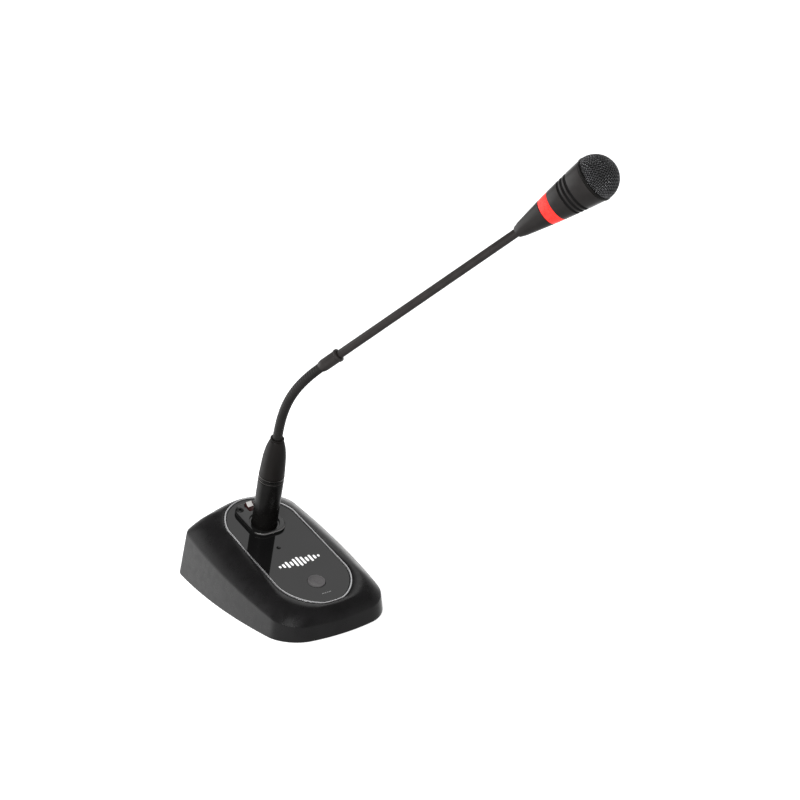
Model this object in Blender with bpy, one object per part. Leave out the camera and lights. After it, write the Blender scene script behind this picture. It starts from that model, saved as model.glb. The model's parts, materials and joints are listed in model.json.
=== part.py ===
"""Gooseneck podium microphone: a plug-in neck with a lit ring and a mesh head, on a weighted desk base.

Metres, +Z up. The origin is on the table under the middle of the base. -Y is the talker's side, with the
button, and +X is to the right. The neck is modelled as it is used, bent forwards and to the right.
"""

import math

import bmesh
import bpy
from mathutils import Vector

MM = 0.001
GAP = 0.3 * MM

# Base outlines, in plan. Each is given by the half widths and the y values of its back and front corners,
# by how far each edge bulges out, and by how much of each edge its rounded corners take up.
SKIRT = {
    "back_half": 47.6 * MM,
    "front_half": 45.3 * MM,
    "back": 71.9 * MM,
    "front": -70.7 * MM,
    "side_bulge": 6.5 * MM,
    "front_bulge": 7.5 * MM,
    "back_bulge": 3.9 * MM,
    "front_corner": 17.4 * MM,
    "back_corner": 7.1 * MM,
}
SHOULDER = {
    "back_half": 45.2 * MM,
    "front_half": 44.3 * MM,
    "back": 65.1 * MM,
    "front": -69.8 * MM,
    "side_bulge": 4.8 * MM,
    "front_bulge": 7.4 * MM,
    "back_bulge": 3.8 * MM,
    "front_corner": 16.2 * MM,
    "back_corner": 7.3 * MM,
}
PANEL = {
    "back_half": 28.8 * MM,
    "front_half": 30.7 * MM,
    "back": 39.4 * MM,
    "front": -57.3 * MM,
    "side_bulge": 0.0,
    "front_bulge": 9.5 * MM,
    "back_bulge": 17.0 * MM,
    "front_corner": 21.9 * MM,
    "back_corner": 9.8 * MM,
}
EDGE_STEPS = 4
SIDE_STEPS = 5
CORNER_STEPS = 4
CORNER_WEIGHT = 0.75

# How many points go round a piece.
ROUND = 20
ROUND_LARGE = 24
ROUND_SMALL = 12

PAD_THICKNESS = 1.5 * MM
PAD_INSET = 8.0 * MM
SHOULDER_HEIGHT = 25.7 * MM
SHOULDER_SLOPE = 0.1736
SHOULDER_BULGE = 3.7 * MM
PANEL_HEIGHT = 39.2 * MM
PANEL_SLOPE = 0.2468
PANEL_TILT = math.atan(PANEL_SLOPE)
HOUSING_WALL = 2.4 * MM
LEDGE_DEPTH = 3.2 * MM
LEDGE_THICKNESS = 2.2 * MM
LEDGE_WIDTH = 4.6 * MM
TRIM_WIDTH = 1.4 * MM
TRIM_HEIGHT = 0.5 * MM
PANEL_THICKNESS = 2.4 * MM
COVER_THICKNESS = 3.0 * MM
COVER_INSET = 3.2 * MM

BOSS_PLACES = ((26.3 * MM, 36.0 * MM), (27.6 * MM, -46.0 * MM))
BOSS_RADIUS = 3.0 * MM
SCREW_RADIUS = 1.5 * MM
SCREW_HEAD_RADIUS = 2.8 * MM
SCREW_LENGTH = 12.0 * MM

BALLAST_HALF_WIDTH = 21.0 * MM
BALLAST_ENDS = (-26.0 * MM, 41.0 * MM)
BALLAST_THICKNESS = 11.0 * MM

SOCKET_Y = 26.2 * MM
BUTTON_OFFSET = -71.5 * MM
BUTTON_RADIUS = 6.6 * MM
BUTTON_PROUD = 0.9 * MM
BUTTON_TRAVEL = 1.0 * MM
BOARD_DEPTH = 11.0 * MM
BOARD_HALF = (20.0 * MM, 15.0 * MM)
BOARD_THICKNESS = 1.6 * MM

SOCKET_RADIUS = 12.0 * MM
SOCKET_BORE = 9.9 * MM
SOCKET_DEPTH = 18.0 * MM
SOCKET_CORE_RADIUS = 7.7 * MM
FLANGE_HALF_WIDTH = 14.5 * MM
FLANGE_ENDS = (-13.0 * MM, 24.5 * MM)
FLANGE_THICKNESS = 2.2 * MM
SOCKET_SCREW_PLACE = (9.6 * MM, 18.6 * MM)
PIN_CIRCLE = 4.75 * MM
PIN_RADIUS = 1.2 * MM
PIN_ANGLES = (135, 45, 270)
CONTACT_WALL = 0.55 * MM

LATCH_HALF_WIDTH = 3.4 * MM
LATCH_PIVOT = (15.4 * MM, 1.5 * MM)

PLUG_RADIUS = 9.5 * MM
PLUG_BORE = 8.15 * MM
PLUG_NOSE = 11.5 * MM
PLUG_BARREL = 42.3 * MM
PLUG_BAND = 5.0 * MM

NECK_ROOT = 81.5 * MM
NECK_RADIUS = 3.6 * MM
BALL_RADIUS = 2.7 * MM
NECK_PITCH = 9.0 * MM
NECK_SEGMENTS = 8
NECK_BEND = math.radians(41.1)
NECK_BEND_MIDDLE = 4.48
NECK_BEND_SPREAD = 3.58
NECK_HEADING = math.radians(54.8)
NECK_SHOULDER = 1.3 * MM

COLLAR_LENGTH = 18.5 * MM
COLLAR_RADIUS = 4.6 * MM
TUBE_RADIUS = 3.25 * MM
TUBE_BORE = 2.2 * MM
TUBE_START = 5.0 * MM
HEAD_START = 184.8 * MM
TUBE_INTO_HEAD = 8.0 * MM

HEAD_RADIUS = 6.0 * MM
HEAD_TAPER_START = 6.0 * MM
HEAD_TAPER = 0.212
HEAD_ROUNDING = 0.62
RING_START = 27.0 * MM
RING_END = 35.9 * MM
BODY_END = 69.0 * MM
GROOVES = (47.8 * MM, 51.5 * MM, 55.2 * MM)
GROOVE_WIDTH = 2.1 * MM
GROOVE_DEPTH = 1.2 * MM
SPIGOT_RADIUS = 6.4 * MM
SPIGOT_BORE = 4.4 * MM
SPIGOT_END = 43.0 * MM
GRILLE_RADIUS = 17.1 * MM
RIM_RADIUS = 17.4 * MM
GRILLE_CENTRE = 71.6 * MM
GRILLE_WALL = 1.0 * MM
CAPSULE_RADIUS = 8.2 * MM

REAR_HEIGHT = 19.6 * MM
REAR_HALF = (13.0 * MM, 15.5 * MM)
REAR_CORNER = 3.0 * MM
REAR_RADIUS = 11.8 * MM
REAR_BORE = 9.5 * MM
REAR_DEPTH = 19.0 * MM
REAR_PLATE = 2.0 * MM
REAR_SCREW_PLACE = (9.5 * MM, 12.0 * MM)


# ---------------------------------------------------------------- materials


def material(name, colour, roughness, metallic=0.0):
    """A Principled material, made once."""
    if name in bpy.data.materials:
        return bpy.data.materials[name]
    made = bpy.data.materials.new(name)
    made.use_nodes = True
    shader = made.node_tree.nodes["Principled BSDF"]
    shader.inputs["Base Color"].default_value = (*colour, 1.0)
    shader.inputs["Roughness"].default_value = roughness
    shader.inputs["Metallic"].default_value = metallic
    return made


def housing_plastic():
    return material("housing_plastic", (0.03, 0.03, 0.031), 0.35)


def panel_acrylic():
    return material("panel_acrylic", (0.07, 0.067, 0.068), 0.08)


def bright_metal():
    return material("bright_metal", (0.75, 0.75, 0.76), 0.18, 1.0)


def black_metal():
    return material("black_metal", (0.012, 0.012, 0.013), 0.22, 0.4)


def black_plastic():
    return material("black_plastic", (0.015, 0.015, 0.015), 0.5)


def black_rubber():
    return material("black_rubber", (0.022, 0.02, 0.019), 0.55)


def button_plastic():
    return material("button_plastic", (0.13, 0.13, 0.13), 0.45)


def head_paint():
    return material("head_paint", (0.05, 0.045, 0.045), 0.38, 0.2)


def red_lens():
    return material("red_lens", (0.9, 0.05, 0.04), 0.25)


def grille_steel():
    return material("grille_steel", (0.06, 0.06, 0.063), 0.35, 0.8)


def contact_gold():
    return material("contact_gold", (0.8, 0.6, 0.25), 0.25, 1.0)


def cast_weight():
    return material("cast_weight", (0.2, 0.2, 0.2), 0.6, 0.8)


def board_green():
    return material("board_green", (0.02, 0.12, 0.05), 0.4)


# ---------------------------------------------------------------- building blocks


def empty(name, parent=None, location=(0, 0, 0), rotation=(0, 0, 0)):
    made = bpy.data.objects.new(name, None)
    bpy.context.collection.objects.link(made)
    made.parent = parent
    made.location = location
    made.rotation_euler = rotation
    return made


def body(name, bm, look, parent=None, location=(0, 0, 0), rotation=(0, 0, 0), sharp=35):
    """An object from a finished bmesh, shaded smooth across edges flatter than sharp degrees."""
    bmesh.ops.recalc_face_normals(bm, faces=bm.faces)
    mesh = bpy.data.meshes.new(name)
    bm.to_mesh(mesh)
    bm.free()
    mesh.shade_smooth()
    mesh.set_sharp_from_angle(angle=math.radians(sharp))
    mesh.materials.append(look)
    made = bpy.data.objects.new(name, mesh)
    bpy.context.collection.objects.link(made)
    made.parent = parent
    made.location = location
    made.rotation_euler = rotation
    return made


def lofted(loops, closed=False):
    """A closed bmesh through loops with the same number of points. When closed, its last loop meets its
    first, as in a tube; otherwise both ends are capped."""
    bm = bmesh.new()
    rings = [[bm.verts.new(point) for point in loop] for loop in loops]
    pairs = list(zip(rings, rings[1:]))
    if closed:
        pairs.append((rings[-1], rings[0]))
    else:
        bm.faces.new(rings[0])
        bm.faces.new(rings[-1])
    for low, high in pairs:
        for i in range(len(low)):
            j = (i + 1) % len(low)
            bm.faces.new((low[i], low[j], high[j], high[i]))
    return bm


def circle(radius, z, steps=ROUND, centre=(0, 0)):
    """A round loop about the local z axis."""
    turns = [2 * math.pi * (i + 0.5) / steps for i in range(steps)]
    return [(centre[0] + radius * math.cos(t), centre[1] + radius * math.sin(t), z) for t in turns]


def hexagon(radius, z, steps=ROUND):
    """A six-sided loop with the same number of points as a round one."""
    points = []
    for i in range(steps):
        turn = 2 * math.pi * (i + 0.5) / steps
        across = (turn + math.pi / 6) % (math.pi / 3) - math.pi / 6
        reach = radius * math.cos(math.pi / 6) / math.cos(across)
        points.append((reach * math.cos(turn), reach * math.sin(turn), z))
    return points


def rounded_rectangle(half_x, half_y, corner, z, steps=ROUND, centre=(0, 0)):
    """A rectangular loop whose four corner arcs hold all its points."""
    each = steps // 4
    points = []
    for quarter in range(4):
        sign_x = 1 if quarter in (0, 3) else -1
        sign_y = 1 if quarter in (0, 1) else -1
        for i in range(each):
            turn = math.pi / 2 * (quarter + i / (each - 1))
            x = centre[0] + sign_x * (half_x - corner) + corner * math.cos(turn)
            y = centre[1] + sign_y * (half_y - corner) + corner * math.sin(turn)
            points.append((x, y, z))
    return points


def turned(sections, closed=False, steps=ROUND):
    """A body of revolution about the local z axis, from (radius, z) sections."""
    return lofted([circle(radius, z, steps) for radius, z in sections], closed)


def cylinder(radius, low, high, steps=ROUND, centre=(0, 0)):
    return lofted([circle(radius, low, steps, centre), circle(radius, high, steps, centre)])


def box(half_x, half_y, low, high, centre=(0, 0)):
    corners = ((-1, -1), (1, -1), (1, 1), (-1, 1))
    around = [(centre[0] + sx * half_x, centre[1] + sy * half_y) for sx, sy in corners]
    return lofted([[(x, y, z) for x, y in around] for z in (low, high)])


def arc(radius, centre_z, start, end, count):
    """(radius, z) sections along a circle on the z axis, from start to end degrees above its equator."""
    turns = [math.radians(start + (end - start) * i / (count - 1)) for i in range(count)]
    return [(radius * math.cos(t), centre_z + radius * math.sin(t)) for t in turns]


def tool(name, bm, parent=None, location=(0, 0, 0), rotation=(0, 0, 0)):
    """A guide object for a Boolean, which isn't part of the microphone."""
    made = body(name, bm, black_plastic(), parent, location, rotation)
    made.hide_render = True
    made.display_type = "WIRE"
    return made


def combine(target, with_tool, operation="DIFFERENCE"):
    modifier = target.modifiers.new(with_tool.name, "BOOLEAN")
    modifier.operation = operation
    modifier.solver = "EXACT"
    modifier.object = with_tool


# ---------------------------------------------------------------- base shape


def outline(shape, inset=0.0):
    """(x, y) points round one of the base outlines, moved in by inset, with the same number for each."""
    back_half = shape["back_half"] - inset
    front_half = shape["front_half"] - inset
    back_y = shape["back"] - inset
    front_y = shape["front"] + inset

    def back(t):
        return Vector((back_half * t, back_y + shape["back_bulge"] * (1 - t * t)))

    def side(t):
        bulge = shape["side_bulge"] * 4 * t * (1 - t)
        return Vector((back_half + (front_half - back_half) * t + bulge, back_y + (front_y - back_y) * t))

    def front(t):
        return Vector((front_half * (1 - t), front_y - shape["front_bulge"] * (1 - (1 - t) ** 2)))

    def stretch(edge, start, end, steps):
        return [edge(start + (end - start) * i / steps) for i in range(steps + 1)]

    def corner(before, at, after):
        points = []
        for i in range(1, CORNER_STEPS + 1):
            t = i / (CORNER_STEPS + 1)
            weights = ((1 - t) ** 2, 2 * t * (1 - t) * CORNER_WEIGHT, t * t)
            total = before * weights[0] + at * weights[1] + after * weights[2]
            points.append(total / sum(weights))
        return points

    length = back_y - front_y
    back_trim = shape["back_corner"]
    front_trim = shape["front_corner"]
    along_back = stretch(back, 0, 1 - back_trim / back_half, EDGE_STEPS)
    along_side = stretch(side, back_trim / length, 1 - front_trim / length, SIDE_STEPS)
    along_front = stretch(front, front_trim / front_half, 1, EDGE_STEPS)
    right = along_back + corner(along_back[-1], side(0), along_side[0]) + along_side
    right += corner(along_side[-1], side(1), along_front[0]) + along_front
    left = [Vector((-point.x, point.y)) for point in reversed(right[1:-1])]
    return right + left


def level_loop(shape, z, inset=0.0):
    return [(p.x, p.y, z) for p in outline(shape, inset)]


def shoulder_loop(inset=0.0, drop=0.0):
    return [(p.x, p.y, SHOULDER_HEIGHT + SHOULDER_SLOPE * p.y - drop) for p in outline(SHOULDER, inset)]


def panel_loop(inset=0.0, depth=0.0):
    """The panel outline on the panel plane, moved in by inset and down along the plane's normal."""
    shift_y = depth * math.sin(PANEL_TILT)
    shift_z = depth * math.cos(PANEL_TILT)
    points = outline(PANEL, inset)
    return [(p.x, p.y + shift_y, PANEL_HEIGHT + PANEL_SLOPE * p.y - shift_z) for p in points]


def between(first, second, share, lift):
    """A loop between two others, lifted where the rounded shoulder stands proud of the straight line."""
    mixed = [Vector(a).lerp(Vector(b), share) for a, b in zip(first, second)]
    return [(p.x, p.y, p.z + lift) for p in mixed]


def panel_depth_z(y, depth):
    """Height of the plane that lies depth below the panel, at y."""
    return PANEL_HEIGHT + PANEL_SLOPE * y - depth / math.cos(PANEL_TILT)


def both_sides(places):
    """Each place and its mirror image, numbered from 1."""
    mirrored = [(side * x, y) for x, y in places for side in (1, -1)]
    return list(enumerate(mirrored, start=1))


def upper_housing(rear):
    skirt = level_loop(SKIRT, PAD_THICKNESS)
    shoulder = shoulder_loop()
    rim = panel_loop(-GAP)
    rounded = [between(shoulder, rim, t, SHOULDER_BULGE * 4 * t * (1 - t)) for t in (0.2, 0.4, 0.6, 0.8)]
    ledge_bottom = LEDGE_DEPTH + LEDGE_THICKNESS
    inner_shoulder = shoulder_loop(HOUSING_WALL, 1.5 * MM)
    inner_rim = panel_loop(1.0 * MM, ledge_bottom)
    loops = [skirt, shoulder, *rounded, rim]
    loops += [panel_loop(-GAP, LEDGE_DEPTH), panel_loop(LEDGE_WIDTH, LEDGE_DEPTH)]
    loops += [panel_loop(LEDGE_WIDTH, ledge_bottom), inner_rim]
    loops += [between(inner_rim, inner_shoulder, 0.5, 1.2 * MM), inner_shoulder]
    loops += [level_loop(SKIRT, PAD_THICKNESS, HOUSING_WALL)]
    housing = body("upper_housing", lofted(loops, closed=True), housing_plastic(), sharp=25)

    for number, (x, y) in both_sides(BOSS_PLACES):
        top = panel_depth_z(y, LEDGE_DEPTH + LEDGE_THICKNESS / 2)
        low = PAD_THICKNESS + COVER_THICKNESS + GAP
        post = cylinder(BOSS_RADIUS, low, top, ROUND_SMALL)
        combine(housing, tool(f"boss_{number}", post, location=(x, y, 0)), "UNION")
    for number, (x, y) in both_sides(BOSS_PLACES):
        low = PAD_THICKNESS + COVER_THICKNESS - GAP
        high = PAD_THICKNESS + SCREW_LENGTH + 3 * MM
        hole = cylinder(SCREW_RADIUS + GAP, low, high, ROUND_SMALL)
        combine(housing, tool(f"boss_hole_{number}", hole, location=(x, y, 0)))
    opening = tool("rear_opening", cylinder(REAR_RADIUS + GAP, -12 * MM, 6 * MM), rear)
    combine(housing, opening)
    for number, side in ((1, 1), (2, -1)):
        place = (side * REAR_SCREW_PLACE[0], side * REAR_SCREW_PLACE[1])
        hole = cylinder(1.5 * MM, -12 * MM, 6 * MM, ROUND_SMALL, place)
        combine(housing, tool(f"rear_screw_hole_{number}", hole, rear))


def bottom_cover():
    low = PAD_THICKNESS
    high = PAD_THICKNESS + COVER_THICKNESS
    loops = [level_loop(SKIRT, low, COVER_INSET), level_loop(SKIRT, high, COVER_INSET)]
    cover = body("bottom_cover", lofted(loops), black_plastic())
    for number, (x, y) in both_sides(BOSS_PLACES):
        step = low + 1.7 * MM
        bore = [(SCREW_HEAD_RADIUS + GAP, low - MM), (SCREW_HEAD_RADIUS + GAP, step)]
        bore += [(SCREW_RADIUS + GAP, step), (SCREW_RADIUS + GAP, high + MM)]
        hole = turned(bore, steps=ROUND_SMALL)
        combine(cover, tool(f"cover_screw_hole_{number}", hole, location=(x, y, 0)))
    button_y = SOCKET_Y + BUTTON_OFFSET * math.cos(PANEL_TILT)
    post_places = ((14 * MM, button_y + 10 * MM), (14 * MM, button_y - 10 * MM))
    for number, (x, y) in both_sides(post_places):
        top = panel_depth_z(y, BOARD_DEPTH + BOARD_THICKNESS) - 1.2 * MM
        post = cylinder(2.4 * MM, high - MM, top, ROUND_SMALL)
        combine(cover, tool(f"board_post_{number}", post, location=(x, y, 0)), "UNION")


def hex_screw(name, parent, location, rotation, length, shank, head, head_height):
    """A socket-head screw, its head's top at local z 0 and its shank down the local -z axis."""
    key = head * 0.55
    sections = [(shank * 0.6, -length), (shank, -length + shank), (shank, -head_height)]
    sections += [(head, -head_height), (head, -0.3 * MM), (head - 0.3 * MM, 0)]
    loops = [circle(radius, z, ROUND_SMALL) for radius, z in sections]
    loops += [hexagon(key, z, ROUND_SMALL) for z in (0, -head_height * 0.6)]
    return body(name, lofted(loops), bright_metal(), parent, location, rotation)


def base_screws():
    for number, (x, y) in both_sides(BOSS_PLACES):
        place = (x, y, PAD_THICKNESS + 0.3 * MM)
        turn = (math.pi, 0, 0)
        screw_name = f"base_screw_{number}"
        hex_screw(screw_name, None, place, turn, SCREW_LENGTH, SCREW_RADIUS, SCREW_HEAD_RADIUS, 1.3 * MM)


def base_pad():
    """Soft sheet that the microphone rests on, with a hole to reach each screw."""
    loops = [level_loop(SKIRT, 0, PAD_INSET), level_loop(SKIRT, PAD_THICKNESS - GAP, PAD_INSET)]
    pad = body("base_pad", lofted(loops), black_rubber())
    for number, (x, y) in both_sides(BOSS_PLACES):
        hole = cylinder(SCREW_HEAD_RADIUS + MM, -MM, PAD_THICKNESS + MM)
        combine(pad, tool(f"pad_screw_hole_{number}", hole, location=(x, y, 0)))


def ballast_weight():
    low = PAD_THICKNESS + COVER_THICKNESS + GAP
    middle = (BALLAST_ENDS[0] + BALLAST_ENDS[1]) / 2
    half_length = (BALLAST_ENDS[1] - BALLAST_ENDS[0]) / 2
    sizes = ((0, 0), (0, BALLAST_THICKNESS - MM), (MM, BALLAST_THICKNESS))
    loops = []
    for inset, rise in sizes:
        half = (BALLAST_HALF_WIDTH - inset, half_length - inset)
        loops.append(rounded_rectangle(*half, 4 * MM, low + rise, centre=(0, middle)))
    body("ballast_weight", lofted(loops), cast_weight())


# ---------------------------------------------------------------- panel


def trim_ring():
    outer = panel_loop(0, LEDGE_DEPTH - GAP)
    loops = [outer, panel_loop(0, -TRIM_HEIGHT + 0.3 * MM), panel_loop(0.4 * MM, -TRIM_HEIGHT)]
    loops += [panel_loop(TRIM_WIDTH, -TRIM_HEIGHT + 0.3 * MM), panel_loop(TRIM_WIDTH, LEDGE_DEPTH - GAP)]
    body("trim_ring", lofted(loops, closed=True), bright_metal())


def face_panel(frame):
    inset = TRIM_WIDTH + GAP
    bottom = PANEL_THICKNESS
    loops = [panel_loop(inset, bottom), panel_loop(inset, 0)]
    panel = body("face_panel", lofted(loops), panel_acrylic())
    low, high = -bottom - 2 * MM, 2 * MM
    hole = tool("socket_hole", cylinder(SOCKET_RADIUS + GAP, low, high), frame)
    combine(panel, hole)
    for number, side in ((1, 1), (2, -1)):
        place = (side * SOCKET_SCREW_PLACE[0], SOCKET_SCREW_PLACE[1])
        hole = cylinder(1.6 * MM, low, high, ROUND_SMALL, place)
        combine(panel, tool(f"panel_screw_hole_{number}", hole, frame))
    button_hole = cylinder(BUTTON_RADIUS + GAP, low, high, ROUND_LARGE, (0, BUTTON_OFFSET))
    combine(panel, tool("button_hole", button_hole, frame))


def talk_button(frame):
    slide = empty("talk_button_slide", frame, (0, BUTTON_OFFSET, 0))
    under = -PANEL_THICKNESS - GAP
    sections = [(2 * MM, under - 2.6 * MM), (2 * MM, under - MM), (BUTTON_RADIUS + MM, under - MM)]
    sections += [(BUTTON_RADIUS + MM, under), (BUTTON_RADIUS, under)]
    sections += [(BUTTON_RADIUS, BUTTON_PROUD - 0.5 * MM)]
    sections += [(BUTTON_RADIUS - 0.15 * MM, BUTTON_PROUD - 0.2 * MM)]
    sections += [(BUTTON_RADIUS - 0.6 * MM, BUTTON_PROUD)]
    sections += [(3 * MM, BUTTON_PROUD - 0.25 * MM), (0.5 * MM, BUTTON_PROUD - 0.35 * MM)]
    body("talk_button", turned(sections, steps=ROUND_LARGE), button_plastic(), slide)


def circuit_board(frame):
    spot = empty("board_place", frame, (0, BUTTON_OFFSET, 0))
    top = -BOARD_DEPTH
    loops = [rounded_rectangle(*BOARD_HALF, 2 * MM, z) for z in (top - BOARD_THICKNESS, top)]
    body("circuit_board", lofted(loops), board_green(), spot)
    plunger = -PANEL_THICKNESS - GAP - 2.6 * MM - BUTTON_TRAVEL - GAP
    case = 3.1 * MM
    low = top + GAP
    loops = [rounded_rectangle(case, case, 0.4 * MM, z, ROUND_SMALL) for z in (low, plunger - 0.9 * MM)]
    loops += [circle(1.7 * MM, z, ROUND_SMALL) for z in (plunger - 0.9 * MM, plunger)]
    body("tact_switch", lofted(loops), black_plastic(), spot)


# ---------------------------------------------------------------- panel socket


def socket_flange(frame):
    """Metal shell of the panel socket: a plate that also holds the latch, and a tube through the panel."""
    middle = sum(FLANGE_ENDS) / 2
    half_length = (FLANGE_ENDS[1] - FLANGE_ENDS[0]) / 2
    top = GAP + FLANGE_THICKNESS
    loops = [circle(SOCKET_RADIUS, -SOCKET_DEPTH), circle(SOCKET_RADIUS, GAP)]
    for inset, z in ((0, GAP), (0, top - 0.6 * MM), (0.6 * MM, top)):
        half = (FLANGE_HALF_WIDTH - inset, half_length - inset)
        loops.append(rounded_rectangle(*half, 10 * MM - inset, z, centre=(0, middle)))
    loops += [circle(SOCKET_BORE + 0.6 * MM, top), circle(SOCKET_BORE, top - 0.6 * MM)]
    loops += [circle(SOCKET_BORE, -SOCKET_DEPTH)]
    flange = body("socket_flange", lofted(loops, closed=True), black_metal(), frame)
    slot_middle = (LATCH_PIVOT[0] + 23.2 * MM) / 2 - 0.4 * MM
    slot = box(LATCH_HALF_WIDTH + 0.5 * MM, 4.5 * MM, 0, 5 * MM, (0, slot_middle))
    combine(flange, tool("latch_slot", slot, frame))
    for number, side in ((1, 1), (2, -1)):
        place = (side * SOCKET_SCREW_PLACE[0], SOCKET_SCREW_PLACE[1])
        seat = top - 1.2 * MM
        bore = ((1.6 * MM, -MM), (1.6 * MM, seat), (2.8 * MM, seat), (2.8 * MM, top + MM))
        loops = [circle(radius, z, ROUND_SMALL, place) for radius, z in bore]
        combine(flange, tool(f"flange_screw_hole_{number}", lofted(loops), frame))


def socket_screws(frame):
    for number, side in ((1, -1), (2, 1)):
        place = (side * SOCKET_SCREW_PLACE[0], SOCKET_SCREW_PLACE[1], GAP + FLANGE_THICKNESS)
        hex_screw(f"socket_screw_{number}", frame, place, (0, 0, 0), 8 * MM, 1.25 * MM, 2.4 * MM, 0.9 * MM)


def pin_places():
    turns = [math.radians(angle) for angle in PIN_ANGLES]
    return [(PIN_CIRCLE * math.cos(t), PIN_CIRCLE * math.sin(t)) for t in turns]


def socket_insert(frame):
    """Core of the socket, on a floor that closes the shell, with a brass sleeve for each pin."""
    floor = -SOCKET_DEPTH + 4 * MM
    sections = [(SOCKET_BORE - GAP, -SOCKET_DEPTH), (SOCKET_BORE - GAP, floor)]
    sections += [(SOCKET_CORE_RADIUS, floor), (SOCKET_CORE_RADIUS, -1.3 * MM)]
    sections += [(SOCKET_CORE_RADIUS - 0.5 * MM, -0.8 * MM)]
    insert = body("socket_insert", turned(sections), black_plastic(), frame)
    sleeve = PIN_RADIUS + 0.12 * MM + CONTACT_WALL
    for number, place in enumerate(pin_places(), start=1):
        hole = cylinder(sleeve + 0.2 * MM, -SOCKET_DEPTH - MM, 0, ROUND_SMALL, place)
        combine(insert, tool(f"contact_hole_{number}", hole, frame))
        bore = PIN_RADIUS + 0.12 * MM
        low, high = -SOCKET_DEPTH - 3 * MM, -1.2 * MM
        sections = [(sleeve, low), (sleeve, high), (bore, high), (bore, -SOCKET_DEPTH + 3 * MM)]
        contact = turned(sections, steps=ROUND_SMALL)
        body(f"socket_contact_{number}", contact, contact_gold(), frame, (*place, 0))


def latch_tab(frame):
    """Release lever: a plate that rises to a thumb lip, rocking about its front end."""
    pivot_y, pivot_z = LATCH_PIVOT
    rocker = empty("latch_pivot", frame, (0, pivot_y, pivot_z))
    stations = ((-0.5, -0.7, 0.9), (2.6, -0.5, 1.2), (4.6, 0.2, 2.1), (6.3, 1.4, 3.0), (7.1, 1.9, 3.1))
    loops = []
    for y, low, high in stations:
        half = LATCH_HALF_WIDTH
        y, low, high = y * MM, low * MM, high * MM
        edge = [(-half, low), (half, low), (half, high - 0.3 * MM), (half - 0.3 * MM, high)]
        edge += [(-half + 0.3 * MM, high), (-half, high - 0.3 * MM)]
        loops.append([(x, y, z) for x, z in edge])
    body("latch_tab", lofted(loops), bright_metal(), rocker)


# ---------------------------------------------------------------- plug and neck


def plug(frame):
    low, high = -PLUG_NOSE, PLUG_BARREL
    sections = [(PLUG_BORE, low), (PLUG_RADIUS - 0.4 * MM, low), (PLUG_RADIUS, low + 0.4 * MM)]
    sections += [(PLUG_RADIUS, high - 0.5 * MM), (PLUG_RADIUS - 0.5 * MM, high), (PLUG_BORE, high)]
    body("plug_shell", turned(sections, closed=True, steps=ROUND_LARGE), black_metal(), frame)
    insert = [(PLUG_BORE - GAP, MM), (PLUG_BORE - GAP, 9 * MM)]
    holder = body("plug_insert", turned(insert), black_plastic(), frame)
    for number, place in enumerate(pin_places(), start=1):
        hole = cylinder(PIN_RADIUS + 0.15 * MM, 0, 10 * MM, ROUND_SMALL, place)
        combine(holder, tool(f"plug_pin_hole_{number}", hole, frame))
        pin = [(0.6 * MM, -PLUG_NOSE + 1.2 * MM), (PIN_RADIUS, -PLUG_NOSE + 2.4 * MM)]
        pin.append((PIN_RADIUS, 12 * MM))
        body(f"plug_pin_{number}", turned(pin, steps=ROUND_SMALL), contact_gold(), frame, (*place, 0))
    band_low, band_high = high + GAP, high + PLUG_BAND - GAP
    edge = 0.35 * MM
    sections = [(PLUG_BORE, band_low), (PLUG_RADIUS - edge, band_low), (PLUG_RADIUS, band_low + edge)]
    sections += [(PLUG_RADIUS, band_high - edge), (PLUG_RADIUS - edge, band_high), (PLUG_BORE, band_high)]
    body("plug_band", turned(sections, closed=True, steps=ROUND_LARGE), black_metal(), frame)


def ball(centre_z, shoulder, steps):
    """Sections of a ball end that stands on a shoulder below its centre."""
    start = -math.degrees(math.asin(shoulder / BALL_RADIUS))
    return arc(BALL_RADIUS, centre_z, start, 78, steps)


def socket():
    """Sections of the hollow that takes a ball, from its top down to its lip."""
    return arc(BALL_RADIUS + GAP, 0, 80, 3, 4)


def plug_boot(frame):
    """Tapered strain relief between the band and the neck, ending in the neck's first ball."""
    start = PLUG_BARREL + PLUG_BAND
    end = NECK_ROOT - NECK_SHOULDER
    sections = [(PLUG_BORE - GAP, PLUG_BARREL - 6 * MM), (PLUG_BORE - GAP, start)]
    stations = 6
    for i in range(stations):
        t = i / (stations - 1)
        radius = PLUG_RADIUS - 0.1 * MM - 1.5 * MM * t - 3.0 * MM * t**4
        sections.append((radius, start + (end - start - 0.8 * MM) * t))
    sections.append((NECK_RADIUS + 0.4 * MM, end))
    sections += ball(NECK_ROOT, NECK_SHOULDER, 5)
    body("plug_boot", turned(sections, steps=ROUND_LARGE), black_rubber(), frame)


def rest_bends():
    """Angle at each pivot of the neck at rest: a bell curve along the neck that adds up to its bend."""
    shares = []
    for k in range(NECK_SEGMENTS + 1):
        away = (k - NECK_BEND_MIDDLE) / NECK_BEND_SPREAD
        shares.append(math.exp(-away * away))
    return [NECK_BEND * share / sum(shares) for share in shares]


def neck(frame):
    """The neck's short links, each on the ball of the one before; returns the frame of the last pivot."""
    pivot = frame
    location = (0, 0, NECK_ROOT)
    turn = NECK_HEADING
    for number, bend in enumerate(rest_bends(), start=1):
        pivot = empty(f"neck_pivot_{number}", pivot, location, (bend, 0, turn))
        location = (0, 0, NECK_PITCH)
        turn = 0
        if number > NECK_SEGMENTS:
            break
        shoulder = NECK_PITCH - NECK_SHOULDER
        sections = socket() + [(NECK_RADIUS, 0.15 * MM), (NECK_RADIUS, shoulder)]
        sections += ball(NECK_PITCH, NECK_SHOULDER, 5)
        body(f"neck_link_{number}", turned(sections, steps=ROUND_SMALL), black_rubber(), pivot)
    return pivot


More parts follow.
